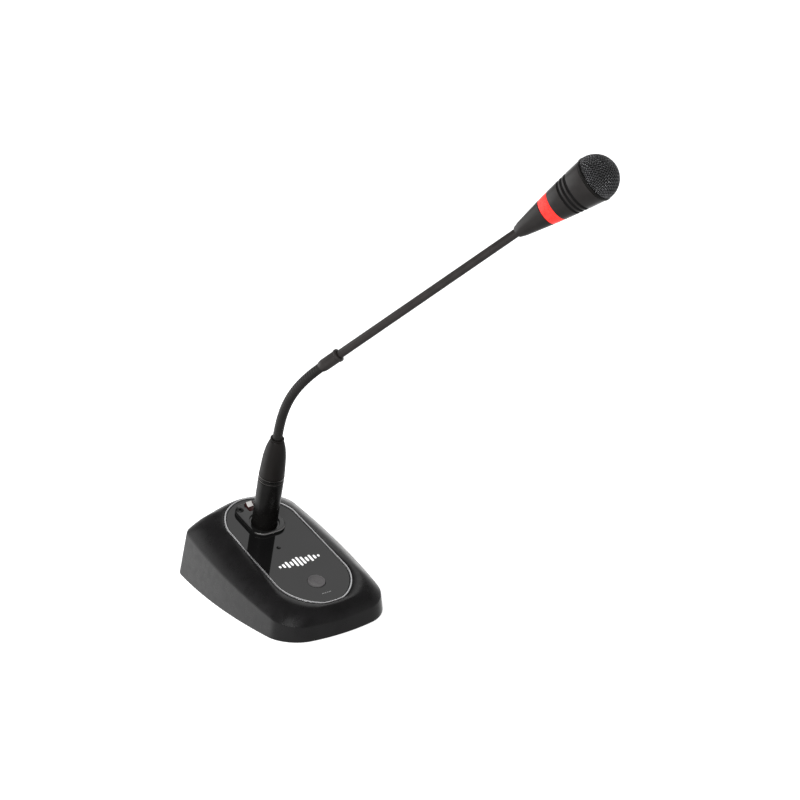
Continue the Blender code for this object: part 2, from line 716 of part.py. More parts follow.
def neck_collar(last):
    sections = socket() + [(NECK_RADIUS, 0.15 * MM), (COLLAR_RADIUS, 3.5 * MM)]
    sections += [(COLLAR_RADIUS, 15.5 * MM), (COLLAR_RADIUS + 0.5 * MM, 15.9 * MM)]
    sections += [(COLLAR_RADIUS + 0.5 * MM, COLLAR_LENGTH - 0.5 * MM), (COLLAR_RADIUS, COLLAR_LENGTH)]
    sections += [(TUBE_RADIUS + GAP, COLLAR_LENGTH), (TUBE_RADIUS + GAP, TUBE_START - GAP)]
    body("neck_collar", turned(sections, steps=ROUND), black_metal(), last)


def neck_tube(last):
    end = HEAD_START + TUBE_INTO_HEAD
    sections = [(TUBE_BORE, TUBE_START), (TUBE_RADIUS, TUBE_START), (TUBE_RADIUS, end), (TUBE_BORE, end)]
    body("neck_tube", turned(sections, closed=True, steps=ROUND), black_metal(), last)


# ---------------------------------------------------------------- head


def head_radius(z):
    """Outer radius of the head's slightly rounded taper, z from where the tube enters the head."""
    along = z - HEAD_TAPER_START
    return HEAD_RADIUS + HEAD_TAPER * along - HEAD_ROUNDING * along**2


def head_cone(head):
    end = RING_START - GAP
    inside = TUBE_INTO_HEAD + GAP
    sections = [(TUBE_RADIUS + GAP, 0), (TUBE_RADIUS + 0.9 * MM, 0), (HEAD_RADIUS - 0.4 * MM, 4.2 * MM)]
    sections += [(HEAD_RADIUS, HEAD_TAPER_START), (head_radius(end), end), (SPIGOT_RADIUS, end)]
    sections += [(SPIGOT_RADIUS, SPIGOT_END), (SPIGOT_BORE, SPIGOT_END), (SPIGOT_BORE, inside + 4 * MM)]
    sections += [(TUBE_BORE, inside), (TUBE_RADIUS + GAP, inside)]
    body("head_cone", turned(sections, closed=True, steps=ROUND_LARGE), head_paint(), head)


def light_ring(head):
    bore = SPIGOT_RADIUS + 0.4 * MM
    sections = [(bore, RING_START), (head_radius(RING_START), RING_START)]
    sections += [(head_radius(RING_END), RING_END), (bore, RING_END)]
    body("light_ring", turned(sections, closed=True, steps=ROUND_LARGE), red_lens(), head)
    board = [(bore, RING_END + GAP), (9.4 * MM, RING_END + GAP), (9.4 * MM, RING_END + 1.3 * MM)]
    board += [(bore, RING_END + 1.3 * MM)]
    body("light_board", turned(board, closed=True), board_green(), head)


def head_body(head):
    start = RING_END + GAP
    sections = [(9.8 * MM, start), (head_radius(start), start)]
    for middle in GROOVES:
        for at, depth in ((-0.5, 0), (-0.35, 1), (0.35, 1), (0.5, 0)):
            z = middle + at * GROOVE_WIDTH
            sections.append((head_radius(z) - depth * GROOVE_DEPTH, z))
    rounding = 0.4 * MM
    sections.append((head_radius(BODY_END - rounding), BODY_END - rounding))
    sections.append((head_radius(BODY_END) - rounding, BODY_END))
    wall = 2.2 * MM
    sections += [(head_radius(BODY_END) - wall, BODY_END), (head_radius(46 * MM) - wall, 46 * MM)]
    sections += [(SPIGOT_RADIUS + 0.4 * MM, 44 * MM), (SPIGOT_RADIUS + 0.4 * MM, RING_END + 2.4 * MM)]
    sections += [(9.8 * MM, RING_END + 2.4 * MM)]
    body("head_body", turned(sections, closed=True, steps=ROUND_LARGE), head_paint(), head)


def grille(head):
    ring_low, ring_high = BODY_END + GAP, BODY_END + 2.2 * MM
    bore = GRILLE_RADIUS - 2.6 * MM
    sections = [(bore, ring_low), (RIM_RADIUS - 0.4 * MM, ring_low), (RIM_RADIUS, ring_low + 0.4 * MM)]
    sections += [(RIM_RADIUS, ring_high - 0.2 * MM), (RIM_RADIUS - 0.2 * MM, ring_high), (bore, ring_high)]
    body("grille_ring", turned(sections, closed=True, steps=ROUND_LARGE), black_metal(), head)
    inner = GRILLE_RADIUS - GRILLE_WALL
    low = ring_high + GAP
    dome = arc(inner, GRILLE_CENTRE, 84, 5, 6) + [(inner, low), (GRILLE_RADIUS, low)]
    dome += arc(GRILLE_RADIUS, GRILLE_CENTRE, 10, 86, 7)
    body("grille", turned(dome, steps=ROUND_LARGE), grille_steel(), head)


def capsule(head):
    rim = GRILLE_RADIUS - 2.6 * MM - GAP
    low, high = 60 * MM, 64 * MM
    sections = [(CAPSULE_RADIUS + GAP, low), (head_radius(low) - 2.6 * MM, low)]
    sections += [(head_radius(high) - 2.6 * MM, high), (rim - 2 * MM, high), (rim - 2 * MM, 68 * MM)]
    sections += [(CAPSULE_RADIUS + GAP, 68 * MM)]
    body("capsule_holder", turned(sections, closed=True), black_rubber(), head)
    sections = [(CAPSULE_RADIUS - 0.6 * MM, 58 * MM), (CAPSULE_RADIUS, 58.6 * MM)]
    sections += [(CAPSULE_RADIUS, 73.4 * MM), (CAPSULE_RADIUS - 0.6 * MM, 74 * MM)]
    body("capsule", turned(sections), bright_metal(), head)


# ---------------------------------------------------------------- rear connector


def rear_frame():
    """A frame on the back wall of the skirt, its z axis pointing straight out of the wall."""
    low = Vector((SKIRT["back"] + SKIRT["back_bulge"], PAD_THICKNESS))
    high_y = SHOULDER["back"] + SHOULDER["back_bulge"]
    high = Vector((high_y, SHOULDER_HEIGHT + SHOULDER_SLOPE * high_y))
    wall = (high - low).normalized()
    at = low + wall * ((REAR_HEIGHT - low.y) / wall.y)
    lean = math.atan2(-wall.x, wall.y)
    return empty("rear_frame", None, (0, at.x, at.y), (-(math.pi / 2 - lean), 0, 0))


def rear_connector(frame):
    """Output connector: a metal shell with a square plate, a plastic core and three pins."""
    low, high = 2 * GAP, 2 * GAP + REAR_PLATE
    loops = [circle(REAR_RADIUS, -REAR_DEPTH), circle(REAR_RADIUS, low)]
    loops += [rounded_rectangle(*REAR_HALF, REAR_CORNER, z) for z in (low, high - 0.4 * MM)]
    half = [side - 0.4 * MM for side in REAR_HALF]
    loops += [rounded_rectangle(*half, REAR_CORNER, high)]
    loops += [circle(REAR_BORE + 0.5 * MM, high), circle(REAR_BORE, high - 0.5 * MM)]
    loops += [circle(REAR_BORE, -REAR_DEPTH)]
    shell = body("rear_connector_shell", lofted(loops, closed=True), black_metal(), frame)
    for number, side in ((1, 1), (2, -1)):
        place = (side * REAR_SCREW_PLACE[0], side * REAR_SCREW_PLACE[1])
        hole = cylinder(1.5 * MM, low - MM, high + MM, ROUND_SMALL, place)
        combine(shell, tool(f"rear_plate_hole_{number}", hole, frame))
        at = (*place, high + 1.1 * MM)
        hex_screw(f"rear_screw_{number}", frame, at, (0, 0, 0), 9 * MM, 1.2 * MM, 2.3 * MM, 0.9 * MM)
    insert = [(REAR_BORE - GAP, -REAR_DEPTH), (REAR_BORE - GAP, -REAR_DEPTH + 5 * MM)]
    core = body("rear_connector_insert", turned(insert), black_plastic(), frame)
    for number, place in enumerate(pin_places(), start=1):
        hole = cylinder(PIN_RADIUS + 0.15 * MM, -REAR_DEPTH - MM, -REAR_DEPTH + 6 * MM, ROUND_SMALL, place)
        combine(core, tool(f"rear_pin_hole_{number}", hole, frame))
        pin = [(PIN_RADIUS, -REAR_DEPTH - 3 * MM), (PIN_RADIUS, -3 * MM), (0.6 * MM, -1.8 * MM)]
        body(f"rear_pin_{number}", turned(pin, steps=ROUND_SMALL), bright_metal(), frame, (*place, 0))


# ---------------------------------------------------------------- assembly


def main():
    for old in list(bpy.data.objects):
        bpy.data.objects.remove(old)

    rear = rear_frame()
    upper_housing(rear)
    bottom_cover()
    base_screws()
    base_pad()
    ballast_weight()
    rear_connector(rear)

    socket_z = PANEL_HEIGHT + PANEL_SLOPE * SOCKET_Y
    panel = empty("panel_frame", None, (0, SOCKET_Y, socket_z), (PANEL_TILT, 0, 0))
    trim_ring()
    face_panel(panel)
    talk_button(panel)
    circuit_board(panel)
    socket_flange(panel)
    socket_screws(panel)
    socket_insert(panel)
    latch_tab(panel)

    mic = empty("mic_slide", panel)
    plug(mic)
    plug_boot(mic)
    last = neck(mic)
    neck_collar(last)
    neck_tube(last)
    head = empty("head_frame", last, (0, 0, HEAD_START))
    head_cone(head)
    light_ring(head)
    head_body(head)
    grille(head)
    capsule(head)


main()
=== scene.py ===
"""Looks of the gooseneck podium microphone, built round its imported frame.

Metres, +Z up, and -Y is the talker's side.

Every visible piece is a fine mesh made here, in the place its CAD node holds, with a procedural material.
"""

import json
import math

import bmesh
import bpy
from mathutils import Matrix, Vector


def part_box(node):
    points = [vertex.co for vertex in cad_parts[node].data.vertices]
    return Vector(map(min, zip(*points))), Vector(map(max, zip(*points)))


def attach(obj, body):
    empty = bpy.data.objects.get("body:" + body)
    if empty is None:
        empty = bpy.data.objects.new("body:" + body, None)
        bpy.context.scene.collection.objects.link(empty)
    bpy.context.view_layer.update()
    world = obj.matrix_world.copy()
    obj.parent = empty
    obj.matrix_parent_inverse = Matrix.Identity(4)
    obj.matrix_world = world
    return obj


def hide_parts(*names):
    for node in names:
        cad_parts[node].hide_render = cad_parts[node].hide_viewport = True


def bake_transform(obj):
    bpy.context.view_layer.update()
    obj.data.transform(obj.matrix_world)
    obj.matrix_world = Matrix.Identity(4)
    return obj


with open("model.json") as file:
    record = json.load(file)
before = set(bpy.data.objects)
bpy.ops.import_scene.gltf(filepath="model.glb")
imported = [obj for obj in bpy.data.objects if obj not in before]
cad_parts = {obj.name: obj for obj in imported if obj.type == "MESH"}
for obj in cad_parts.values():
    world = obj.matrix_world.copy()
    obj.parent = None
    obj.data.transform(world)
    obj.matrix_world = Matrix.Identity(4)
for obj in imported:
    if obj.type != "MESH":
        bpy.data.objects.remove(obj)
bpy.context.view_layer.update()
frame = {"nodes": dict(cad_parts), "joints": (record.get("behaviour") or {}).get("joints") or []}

MM = 0.001
GAP = 0.3 * MM


def in_mm(**sizes):
    return {name: size * MM for name, size in sizes.items()}


# Base outlines in plan, as in the CAD: half widths and y of the back and front corners, how far each edge
# bulges, and how much of each edge its rounded corners take up.
SKIRT = in_mm(
    back_half=47.6, front_half=45.3, back=71.9, front=-70.7, side_bulge=6.5,
    front_bulge=7.5, back_bulge=3.9, front_corner=17.4, back_corner=7.1,
)
SHOULDER = in_mm(
    back_half=45.2, front_half=44.3, back=65.1, front=-69.8, side_bulge=4.8,
    front_bulge=7.4, back_bulge=3.8, front_corner=16.2, back_corner=7.3,
)
PANEL = in_mm(
    back_half=28.8, front_half=30.7, back=39.4, front=-57.3, side_bulge=0.0,
    front_bulge=9.5, back_bulge=17.0, front_corner=21.9, back_corner=9.8,
)
EDGE_STEPS = 20
SIDE_STEPS = 28
CORNER_STEPS = 14
CORNER_WEIGHT = 0.75

ROUND = 96
ROUND_SMALL = 40

SHOULDER_HEIGHT = 25.7 * MM
SHOULDER_SLOPE = 0.1736
SHOULDER_BULGE = 3.7 * MM
PANEL_HEIGHT = 39.2 * MM
PANEL_SLOPE = 0.2468
PANEL_TILT = math.atan(PANEL_SLOPE)
HOUSING_WALL = 2.4 * MM
LEDGE_DEPTH = 3.2 * MM
LEDGE_THICKNESS = 2.2 * MM
LEDGE_WIDTH = 4.6 * MM
TRIM_HEIGHT = 0.5 * MM
TRIM_SHOWN = 1.15 * MM
PANEL_THICKNESS = 2.4 * MM
SOCKET_Y = 26.2 * MM
SOCKET_SCREW_PLACE = (9.6 * MM, 18.6 * MM)
SCREW_HOLE = 1.6 * MM
SCREW_SEAT = 2.8 * MM
SCREW_SEAT_DEPTH = 1.2 * MM
SOCKET_TUBE_WALL = 2.1 * MM
SOCKET_CORNER = 10 * MM
BUTTON_FLANGE = 1.0 * MM
PLATE_EDGE = 0.25 * MM
REAR_CORNER = 3 * MM
REAR_OPENING_MARGIN = 2.6 * MM

# Generic marks on the panel: printed level bars, a dashed line under the button, and an indicator lens.
BARS_CENTRE = (0.8 * MM, -47.0 * MM)
BAR_PITCH = 3.3 * MM
BAR_WIDTH = 1.9 * MM
BAR_HEIGHTS = (2.4, 4.4, 7.0, 4.8, 8.6, 10.4, 8.2, 5.0, 7.4, 4.2, 2.6)
DASHES_X = (-2.9, -0.9, 1.1, 3.0)
DASHES_BELOW_BUTTON = 13.6 * MM
PRINT_THICKNESS = 0.05 * MM
INDICATOR_PLACE = (-4.8 * MM, -27.6 * MM)

# The socket plate's bevel is painted from a bright highlight to dark between these places along y.
BEVEL_HIGHLIGHT_Y = 15.0 * MM
BEVEL_HIGHLIGHT_END_Y = 19.0 * MM

# Cross-sections along the latch, the one where its thumb lip starts, and its length in millimetres.
LATCH_STATIONS = 26
LATCH_LIP_START = 13
LATCH_LENGTH = 7.6

BARREL_WALL = 1.35 * MM
BAND_STEP = 0.2 * MM
BAND_GROOVE = 0.35 * MM
BAND_LINE = 0.4 * MM
BOOT_STATIONS = 24

NECK_RIDGES = 4
NECK_RIDGE_DEPTH = 0.2 * MM
NECK_INNER = 2.9 * MM
RIDGE_STEPS = 10
TUBE_STEPS = 64

HEAD_TAPER_START = 6.0 * MM
HEAD_RADIUS = 6.0 * MM
HEAD_TAPER = 0.212
HEAD_ROUNDING = 0.62
GROOVES = (47.8 * MM, 51.5 * MM, 55.2 * MM)
GROOVE_WIDTH = 2.1 * MM
GROOVE_DEPTH = 1.2 * MM
SPIGOT_RADIUS = 6.4 * MM
SPIGOT_LENGTH = 16 * MM
RING_BORE = 6.8 * MM
RING_INSET = 0.12 * MM
RING_STEPS = 8
BARREL_MOUTH = 9.8 * MM
BARREL_MOUTH_DEPTH = 2.1 * MM
HEAD_WALL = 2.2 * MM
RIM_WIDTH = 2.6 * MM
FOAM_THICKNESS = 1.5 * MM
FOAM_STEPS = 24

WIRE_PITCH = 1.75 * MM
WIRE_RADIUS = 0.3 * MM
WIRE_WAVE = 0.24 * MM
WIRE_SIDES = 7
WIRE_STEP = 0.42 * MM

CAMERA_AZIMUTH = math.radians(-34.16)
CAMERA_ELEVATION = math.radians(25.74)
CAMERA_DISTANCE = 3.995
CAMERA_LENS = 246.1
CAMERA_AIM = (84.59 * MM, 141.21 * MM)

# Studio: light from the floor and the sky, cards as (direction, inner degrees, outer degrees, light), and two
# square lamps: the key, and a small one that shiny pieces mirror as a glint.
FLOOR_HALF = 14.0
FLOOR_LIGHT = 0.36
FLOOR_EDGE = 0.05
SKY_LIGHT = 0.1
SKY_EDGE = 0.4
CARDS = (
    ((0.506, 0.458, 0.731), 10.0, 15.0, 0.8),
    ((-0.64, 0.745, -0.1), 14.0, 40.0, 1.05),
    ((-0.96, -0.1, -0.05), 25.0, 55.0, 0.15),
    ((0.506, 0.745, -0.434), 12.0, 48.0, 0.6),
    ((0.64, 0.745, 0.15), 12.0, 30.0, 0.9),
)
KEY_FROM = (-0.6, -0.5, 0.62)
LAMP_DISTANCE = 2.2
KEY_SIZE = 0.9
KEY_POWER = 44
GLINT_SIZE = 0.35
GLINT_POWER = 8


# ---- materials


def spread(tree, value, start, end, low, high, easing="LINEAR"):
    """value, spread from start..end to low..high by a node in the tree."""
    made = tree.nodes.new("ShaderNodeMapRange")
    made.interpolation_type = easing
    for name, number in (("From Min", start), ("From Max", end), ("To Min", low), ("To Max", high)):
        made.inputs[name].default_value = number
    tree.links.new(value, made.inputs["Value"])
    return made.outputs["Result"]


class Look:
    """A Principled material whose inputs are driven by procedural nodes."""

    def __init__(self, name):
        self.made = bpy.data.materials.new(name)
        self.made.use_nodes = True
        self.tree = self.made.node_tree
        self.shader = self.tree.nodes["Principled BSDF"]
        self.place = self.tree.nodes.new("ShaderNodeTexCoord").outputs["Object"]

    def node(self, kind, **inputs):
        made = self.tree.nodes.new(kind)
        for name, value in inputs.items():
            made.inputs[name.replace("_", " ")].default_value = value
        return made

    def join(self, output, target):
        self.tree.links.new(output, target)

    def set(self, name, value):
        self.shader.inputs[name].default_value = value

    def noise(self, size, detail=4.0, stretch=None):
        """Noise whose lumps are about size metres across."""
        made = self.node("ShaderNodeTexNoise", Scale=1.0 / size, Detail=detail)
        where = self.place
        if stretch:
            mapping = self.node("ShaderNodeMapping", Scale=stretch)
            self.join(where, mapping.inputs["Vector"])
            where = mapping.outputs["Vector"]
        self.join(where, made.inputs["Vector"])
        return made.outputs["Fac"]

    def between(self, value, low, high, start=0.3, end=0.7):
        return spread(self.tree, value, start, end, low, high)

    def mixed(self, value, first, second):
        """A colour that goes from first to second as value goes from 0 to 1. A bare number is a grey."""
        made = self.tree.nodes.new("ShaderNodeMix")
        made.data_type = "RGBA"
        for name, shade in (("A", first), ("B", second)):
            made.inputs[name].default_value = (*(shade if isinstance(shade, tuple) else (shade,) * 3), 1.0)
        self.join(value, made.inputs["Factor"])
        return made.outputs["Result"]

    def colour(self, value, first, second):
        self.join(self.mixed(self.between(value, 0.0, 1.0), first, second), self.shader.inputs["Base Color"])

    def roughness(self, value, low, high):
        self.join(self.between(value, low, high), self.shader.inputs["Roughness"])

    def bump(self, value, height, strength=1.0):
        made = self.node("ShaderNodeBump", Strength=strength, Distance=height)
        self.join(value, made.inputs["Height"])
        self.join(made.outputs["Normal"], self.shader.inputs["Normal"])


def moulded(name, first, second, low, high, grain=0.5 * MM, height=0.012 * MM, specular=0.5):
    """Moulded plastic: cloudy colour, uneven sheen and a fine spark-eroded grain."""
    look = Look(name)
    look.colour(look.noise(14 * MM), first, second)
    look.roughness(look.noise(5 * MM), low, high)
    look.bump(look.noise(grain, 3.0), height)
    look.set("Specular IOR Level", specular)
    return look.made


def metal(name, first, second, low, high, stretch=None, height=0.004 * MM, metallic=1.0):
    """Turned or plated metal with fine tool marks."""
    look = Look(name)
    look.colour(look.noise(6 * MM), first, second)
    look.roughness(look.noise(1.5 * MM, 6.0, stretch), low, high)
    look.bump(look.noise(0.35 * MM, 5.0, stretch), height)
    look.set("Metallic", metallic)
    return look.made


def bevel_painted_highlight():
    """Socket plate bevel with a painted highlight: bright metal colour along its front edge, dark along its
    sides.
    """
    look = Look("bevel_painted_highlight")
    split = look.node("ShaderNodeSeparateXYZ")
    look.join(look.place, split.inputs["Vector"])
    back = look.between(split.outputs["Y"], 0.0, 1.0, BEVEL_HIGHLIGHT_Y, BEVEL_HIGHLIGHT_END_Y)
    look.join(look.mixed(back, (0.62, 0.61, 0.6), 0.03), look.shader.inputs["Base Color"])
    look.roughness(look.noise(MM), 0.25, 0.42)
    look.bump(look.noise(0.4 * MM, 5.0), 0.004 * MM)
    look.set("Metallic", 1.0)
    return look.made


def printed(name, first, second, glow):
    """Opaque ink with a painted glow: emission that keeps it bright under the studio light."""
    look = Look(name)
    look.colour(look.noise(4 * MM), first, second)
    look.roughness(look.noise(2 * MM), 0.45, 0.6)
    look.bump(look.noise(0.3 * MM), 0.004 * MM)
    # Painted glow: the ink emits light, though it is no lamp.
    look.set("Emission Color", (1.0, 1.0, 1.0, 1.0))
    look.set("Emission Strength", glow)
    return look.made


def lacquered(name, first, second, low, high, coat=0.35, specular=0.5, height=0.01 * MM):
    """Lacquered metal: dark paint under a thin clear coat, with slight orange peel."""
    look = Look(name)
    look.colour(look.noise(8 * MM), first, second)
    look.roughness(look.noise(3 * MM), low, high)
    look.bump(look.noise(0.7 * MM, 2.0), height)
    look.set("Specular IOR Level", specular)
    look.set("Coat Weight", coat)
    look.set("Coat Roughness", 0.18)
    return look.made


def acrylic():
    look = Look("panel_acrylic")
    look.colour(look.noise(30 * MM), (0.006, 0.006, 0.006), (0.009, 0.0087, 0.009))
    scratches = look.noise(2.5 * MM, 6.0, (1.0, 6.0, 1.0))
    look.roughness(scratches, 0.015, 0.05)
    look.set("IOR", 1.56)
    return look.made


def lit_lens():
    """Red translucent plastic with lamps behind it, its glow uneven in soft patches."""
    look = Look("red_lens")
    look.colour(look.noise(3 * MM), (0.4, 0.012, 0.01), (0.5, 0.02, 0.015))
    look.roughness(look.noise(2 * MM), 0.24, 0.36)
    glow = look.mixed(look.between(look.noise(6 * MM), 0.0, 1.0), (1.0, 0.03, 0.024), (1.0, 0.052, 0.04))
    look.join(glow, look.shader.inputs["Emission Color"])
    look.set("Emission Strength", 0.95)
    look.set("Subsurface Weight", 0.3)
    look.set("Subsurface Radius", (3 * MM, 0.6 * MM, 0.4 * MM))
    return look.made


def floor_look():
    look = Look("studio_floor")
    look.colour(look.noise(0.4), 0.93, 0.96)
    look.roughness(look.noise(0.2), 0.85, 0.95)
    look.set("Specular IOR Level", 0.1)
    look.set("Emission Color", (1.0, 1.0, 1.0, 1.0))
    look.set("Emission Strength", 0.9)
    return look.made


LOOKS = {
    "housing": moulded("housing_plastic", (0.006, 0.0057, 0.006), (0.0095, 0.009, 0.0095), 0.24, 0.36),
    "panel": acrylic(),
    "trim": metal("trim_chrome", (0.78, 0.78, 0.79), (0.9, 0.9, 0.91), 0.24, 0.38),
    # The edge look paints a highlight along the front of the socket plate's bevel.
    "edge": bevel_painted_highlight(),
    "line": metal("line_metal", (0.13, 0.125, 0.12), (0.2, 0.19, 0.185), 0.25, 0.4),
    "steel": metal("screw_steel", (0.6, 0.6, 0.62), (0.72, 0.72, 0.73), 0.18, 0.34),
    "black_steel": metal("black_steel", 0.03, 0.06, 0.25, 0.4),
    "latch": metal("latch_nickel", (0.84, 0.82, 0.8), (0.92, 0.9, 0.88), 0.3, 0.45, metallic=0.35),
    "barrel": lacquered(
        "barrel_lacquer", (0.004, 0.0038, 0.0036), (0.007, 0.0066, 0.0062), 0.2, 0.3, 0.06, 0.22
    ),
    "socket": lacquered("socket_lacquer", 0.007, 0.011, 0.08, 0.16),
    "tube": lacquered("tube_lacquer", (0.016, 0.0135, 0.0128), (0.026, 0.022, 0.021), 0.26, 0.38),
    "head": lacquered("head_lacquer", (0.009, 0.0076, 0.0072), (0.015, 0.0125, 0.012), 0.28, 0.4, 0.25),
    "boot": moulded("boot_rubber", (0.006, 0.005, 0.0046), (0.01, 0.0085, 0.0078), 0.36, 0.48, specular=0.32),
    "sleeve": moulded("neck_sleeve", (0.01, 0.0092, 0.0086), (0.017, 0.0155, 0.015), 0.36, 0.5, 0.3 * MM),
    "rubber": moulded("soft_rubber", 0.012, 0.02, 0.7, 0.85, 0.5 * MM, 0.05 * MM),
    "inner": moulded("inner_plastic", 0.012, 0.02, 0.4, 0.55),
    "button": moulded(
        "button_plastic", (0.085, 0.082, 0.083), (0.125, 0.12, 0.122), 0.35, 0.5, 0.3 * MM, 0.03 * MM
    ),
    "wire": metal("mesh_wire", (0.2, 0.2, 0.205), (0.36, 0.36, 0.37), 0.24, 0.45),
    "foam": moulded("foam", 0.004, 0.01, 0.9, 1.0, 0.6 * MM, 0.3 * MM),
    "gold": metal("contact_gold", (0.72, 0.5, 0.2), (0.86, 0.63, 0.28), 0.18, 0.32),
    "cast": metal("cast_iron", 0.16, (0.26, 0.26, 0.25), 0.55, 0.75, None, 0.06 * MM),
    "board": moulded("board_green", (0.012, 0.09, 0.035), (0.02, 0.14, 0.055), 0.3, 0.45),
    # The last number of each print is its painted glow.
    "print": printed("white_print", 0.86, 0.92, 0.3),
    "grey_print": printed("grey_print", 0.2, 0.26, 0.02),
    "seal": moulded("latch_seal", (0.016, 0.0015, 0.0015), (0.03, 0.003, 0.0025), 0.3, 0.45),
    "lens": lit_lens(),
    "floor": floor_look(),
}


# ---- building blocks


def linked(name, data):
    made = bpy.data.objects.new(name, data)
    bpy.context.collection.objects.link(made)
    return made


def piece(name, bm, look, rides=None, stands_for=(), place=None, sharp=38):
    """A finished mesh object from a bmesh, put in place by a frame, with its material and its body."""
    if place is not None:
        bm.transform(place)
    bmesh.ops.recalc_face_normals(bm, faces=bm.faces)
    mesh = bpy.data.meshes.new(name)
    bm.to_mesh(mesh)
    bm.free()
    mesh.shade_smooth()
    mesh.set_sharp_from_angle(angle=math.radians(sharp))
    mesh.materials.append(LOOKS[look])
    made = linked(name, mesh)
    if rides:
        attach(made, rides)
    if stands_for:
        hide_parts(*stands_for)
    return made


def lofted(loops, closed=False):
    """A closed bmesh through loops with the same number of points: a tube wall when closed, else capped."""
    bm = bmesh.new()
    rings = [[bm.verts.new(point) for point in loop] for loop in loops]
    pairs = list(zip(rings, rings[1:]))
    if closed:
        pairs.append((rings[-1], rings[0]))
    else:
        bm.faces.new(rings[0])
        bm.faces.new(rings[-1])
    for low, high in pairs:
        for i in range(len(low)):
            j = (i + 1) % len(low)
            bm.faces.new((low[i], low[j], high[j], high[i]))
    return bm


def circle(radius, z, steps=ROUND, centre=(0, 0)):
    turns = [2 * math.pi * i / steps for i in range(steps)]
    return [(centre[0] + radius * math.cos(t), centre[1] + radius * math.sin(t), z) for t in turns]


def ring(at, across, up, radius, steps):
    """A circle round a path's point, in the plane of two directions."""
    turns = [2 * math.pi * k / steps for k in range(steps)]
    return [at + (across * math.cos(t) + up * math.sin(t)) * radius for t in turns]


def rounded_rectangle(half_x, half_y, corner, z, steps=ROUND, centre=(0, 0)):
    each = steps // 4
    points = []
    for quarter in range(4):
        sign_x = 1 if quarter in (0, 3) else -1
        sign_y = 1 if quarter in (0, 1) else -1
        for i in range(each):
            turn = math.pi / 2 * (quarter + i / (each - 1))
            x = centre[0] + sign_x * (half_x - corner) + corner * math.cos(turn)
            y = centre[1] + sign_y * (half_y - corner) + corner * math.sin(turn)
            points.append((x, y, z))
    return points


def hexagon(radius, z, steps=ROUND_SMALL, centre=(0, 0)):
    points = []
    for i in range(steps):
        turn = 2 * math.pi * i / steps
        across = (turn + math.pi / 6) % (math.pi / 3) - math.pi / 6
        reach = radius * math.cos(math.pi / 6) / math.cos(across)
        points.append((centre[0] + reach * math.cos(turn), centre[1] + reach * math.sin(turn), z))
    return points


def softened(points, closed=False, steps=4):
    """A path of (radius, z, softness) with each corner rounded off over its softness."""
    count = len(points)
    path = []
    for i, (radius, z, soft) in enumerate(points):
        at = Vector((radius, z))
        if not soft or (not closed and i in (0, count - 1)):
            path.append((at.x, at.y))
            continue
        before = Vector(points[i - 1][:2]) - at
        after = Vector(points[(i + 1) % count][:2]) - at
        first = at + before.normalized() * min(soft, before.length * 0.45)
        last = at + after.normalized() * min(soft, after.length * 0.45)
        for k in range(steps + 1):
            t = k / steps
            point = first * (1 - t) ** 2 + at * 2 * t * (1 - t) + last * t * t
            path.append((point.x, point.y))
    return path


def turned(points, closed=False, steps=ROUND, centre=(0, 0)):
    """A body of revolution about the local z axis, from (radius, z, softness) corners."""
    return lofted([circle(radius, z, steps, centre) for radius, z in softened(points, closed)], closed)


def turned_piece(name, points, look, rides, node, place):
    """A closed turned wall, placed as a piece that stands for a CAD node, or for none."""
    piece(name, turned(points, closed=True), look, rides, [node] if node else (), place)


def cylinder(radius, low, high, steps=ROUND, centre=(0, 0)):
    return lofted([circle(radius, low, steps, centre), circle(radius, high, steps, centre)])


def box(half_x, half_y, low, high, centre=(0, 0)):
    corners = ((-1, -1), (1, -1), (1, 1), (-1, 1))
    around = [(centre[0] + sx * half_x, centre[1] + sy * half_y) for sx, sy in corners]
    return lofted([[(x, y, z) for x, y in around] for z in (low, high)])


def merged(parts):
    """One bmesh that holds several, which are freed."""
    whole = bmesh.new()
    for part in parts:
        mesh = bpy.data.meshes.new("part")
        part.to_mesh(mesh)
        part.free()
        whole.from_mesh(mesh)
        bpy.data.meshes.remove(mesh)
    return whole


def carved(bm, cutters, operation="DIFFERENCE", place=None):
    """bm after a Boolean with the cutters, which are placed by a frame and mustn't touch each other."""
    objects = []
    tools = merged(cutters)
    if place is not None:
        tools.transform(place)
    for part in (bm, tools):
        bmesh.ops.recalc_face_normals(part, faces=part.faces)
        mesh = bpy.data.meshes.new("carving")
        part.to_mesh(mesh)
        part.free()
        objects.append(linked("carving", mesh))
    modifier = objects[0].modifiers.new("carving", "BOOLEAN")
    modifier.operation = operation
    modifier.solver = "EXACT"
    modifier.object = objects[1]
    ready = objects[0].evaluated_get(bpy.context.evaluated_depsgraph_get())
    result = bmesh.new()
    result.from_mesh(ready.to_mesh())
    ready.to_mesh_clear()
    for made in objects:
        mesh = made.data
        bpy.data.objects.remove(made)
        bpy.data.meshes.remove(mesh)
    return result


# ---- frames


def joint(name):
    return next(j for j in frame["joints"] if j["name"] == name)


def frame_at(origin, x, z):
    """A matrix whose local x and z axes are those given."""
    z = Vector(z).normalized()
    y = z.cross(Vector(x)).normalized()
    x = y.cross(z)
    made = Matrix((x, y, z)).transposed().to_4x4()
    made.translation = Vector(origin)
    return made


def centre_of(node):
    """Mean of a CAD node's points, which lies on the axis of a turned node."""
    points = [v.co for v in frame["nodes"][node].data.vertices]
    return sum(points, Vector()) / len(points)


def points_in(node, place):
    """A CAD node's points in a frame's own axes."""
    back = place.inverted()
    return [back @ v.co for v in frame["nodes"][node].data.vertices]


def reach(node, place):
    """(low, high, radius) of a CAD node along and about a frame's z axis."""
    points = points_in(node, place)
    along = [p.z for p in points]
    return min(along), max(along), max(math.hypot(p.x, p.y) for p in points)


def socket_sizes(node, place):
    """(plate, tube, bore) of a CAD connector: its points above the frame's plane, and the radii below it."""
    points = points_in(node, place)
    radii = [math.hypot(p.x, p.y) for p in points if p.z < -MM]
    return [p for p in points if p.z > 0], max(radii), min(radii)


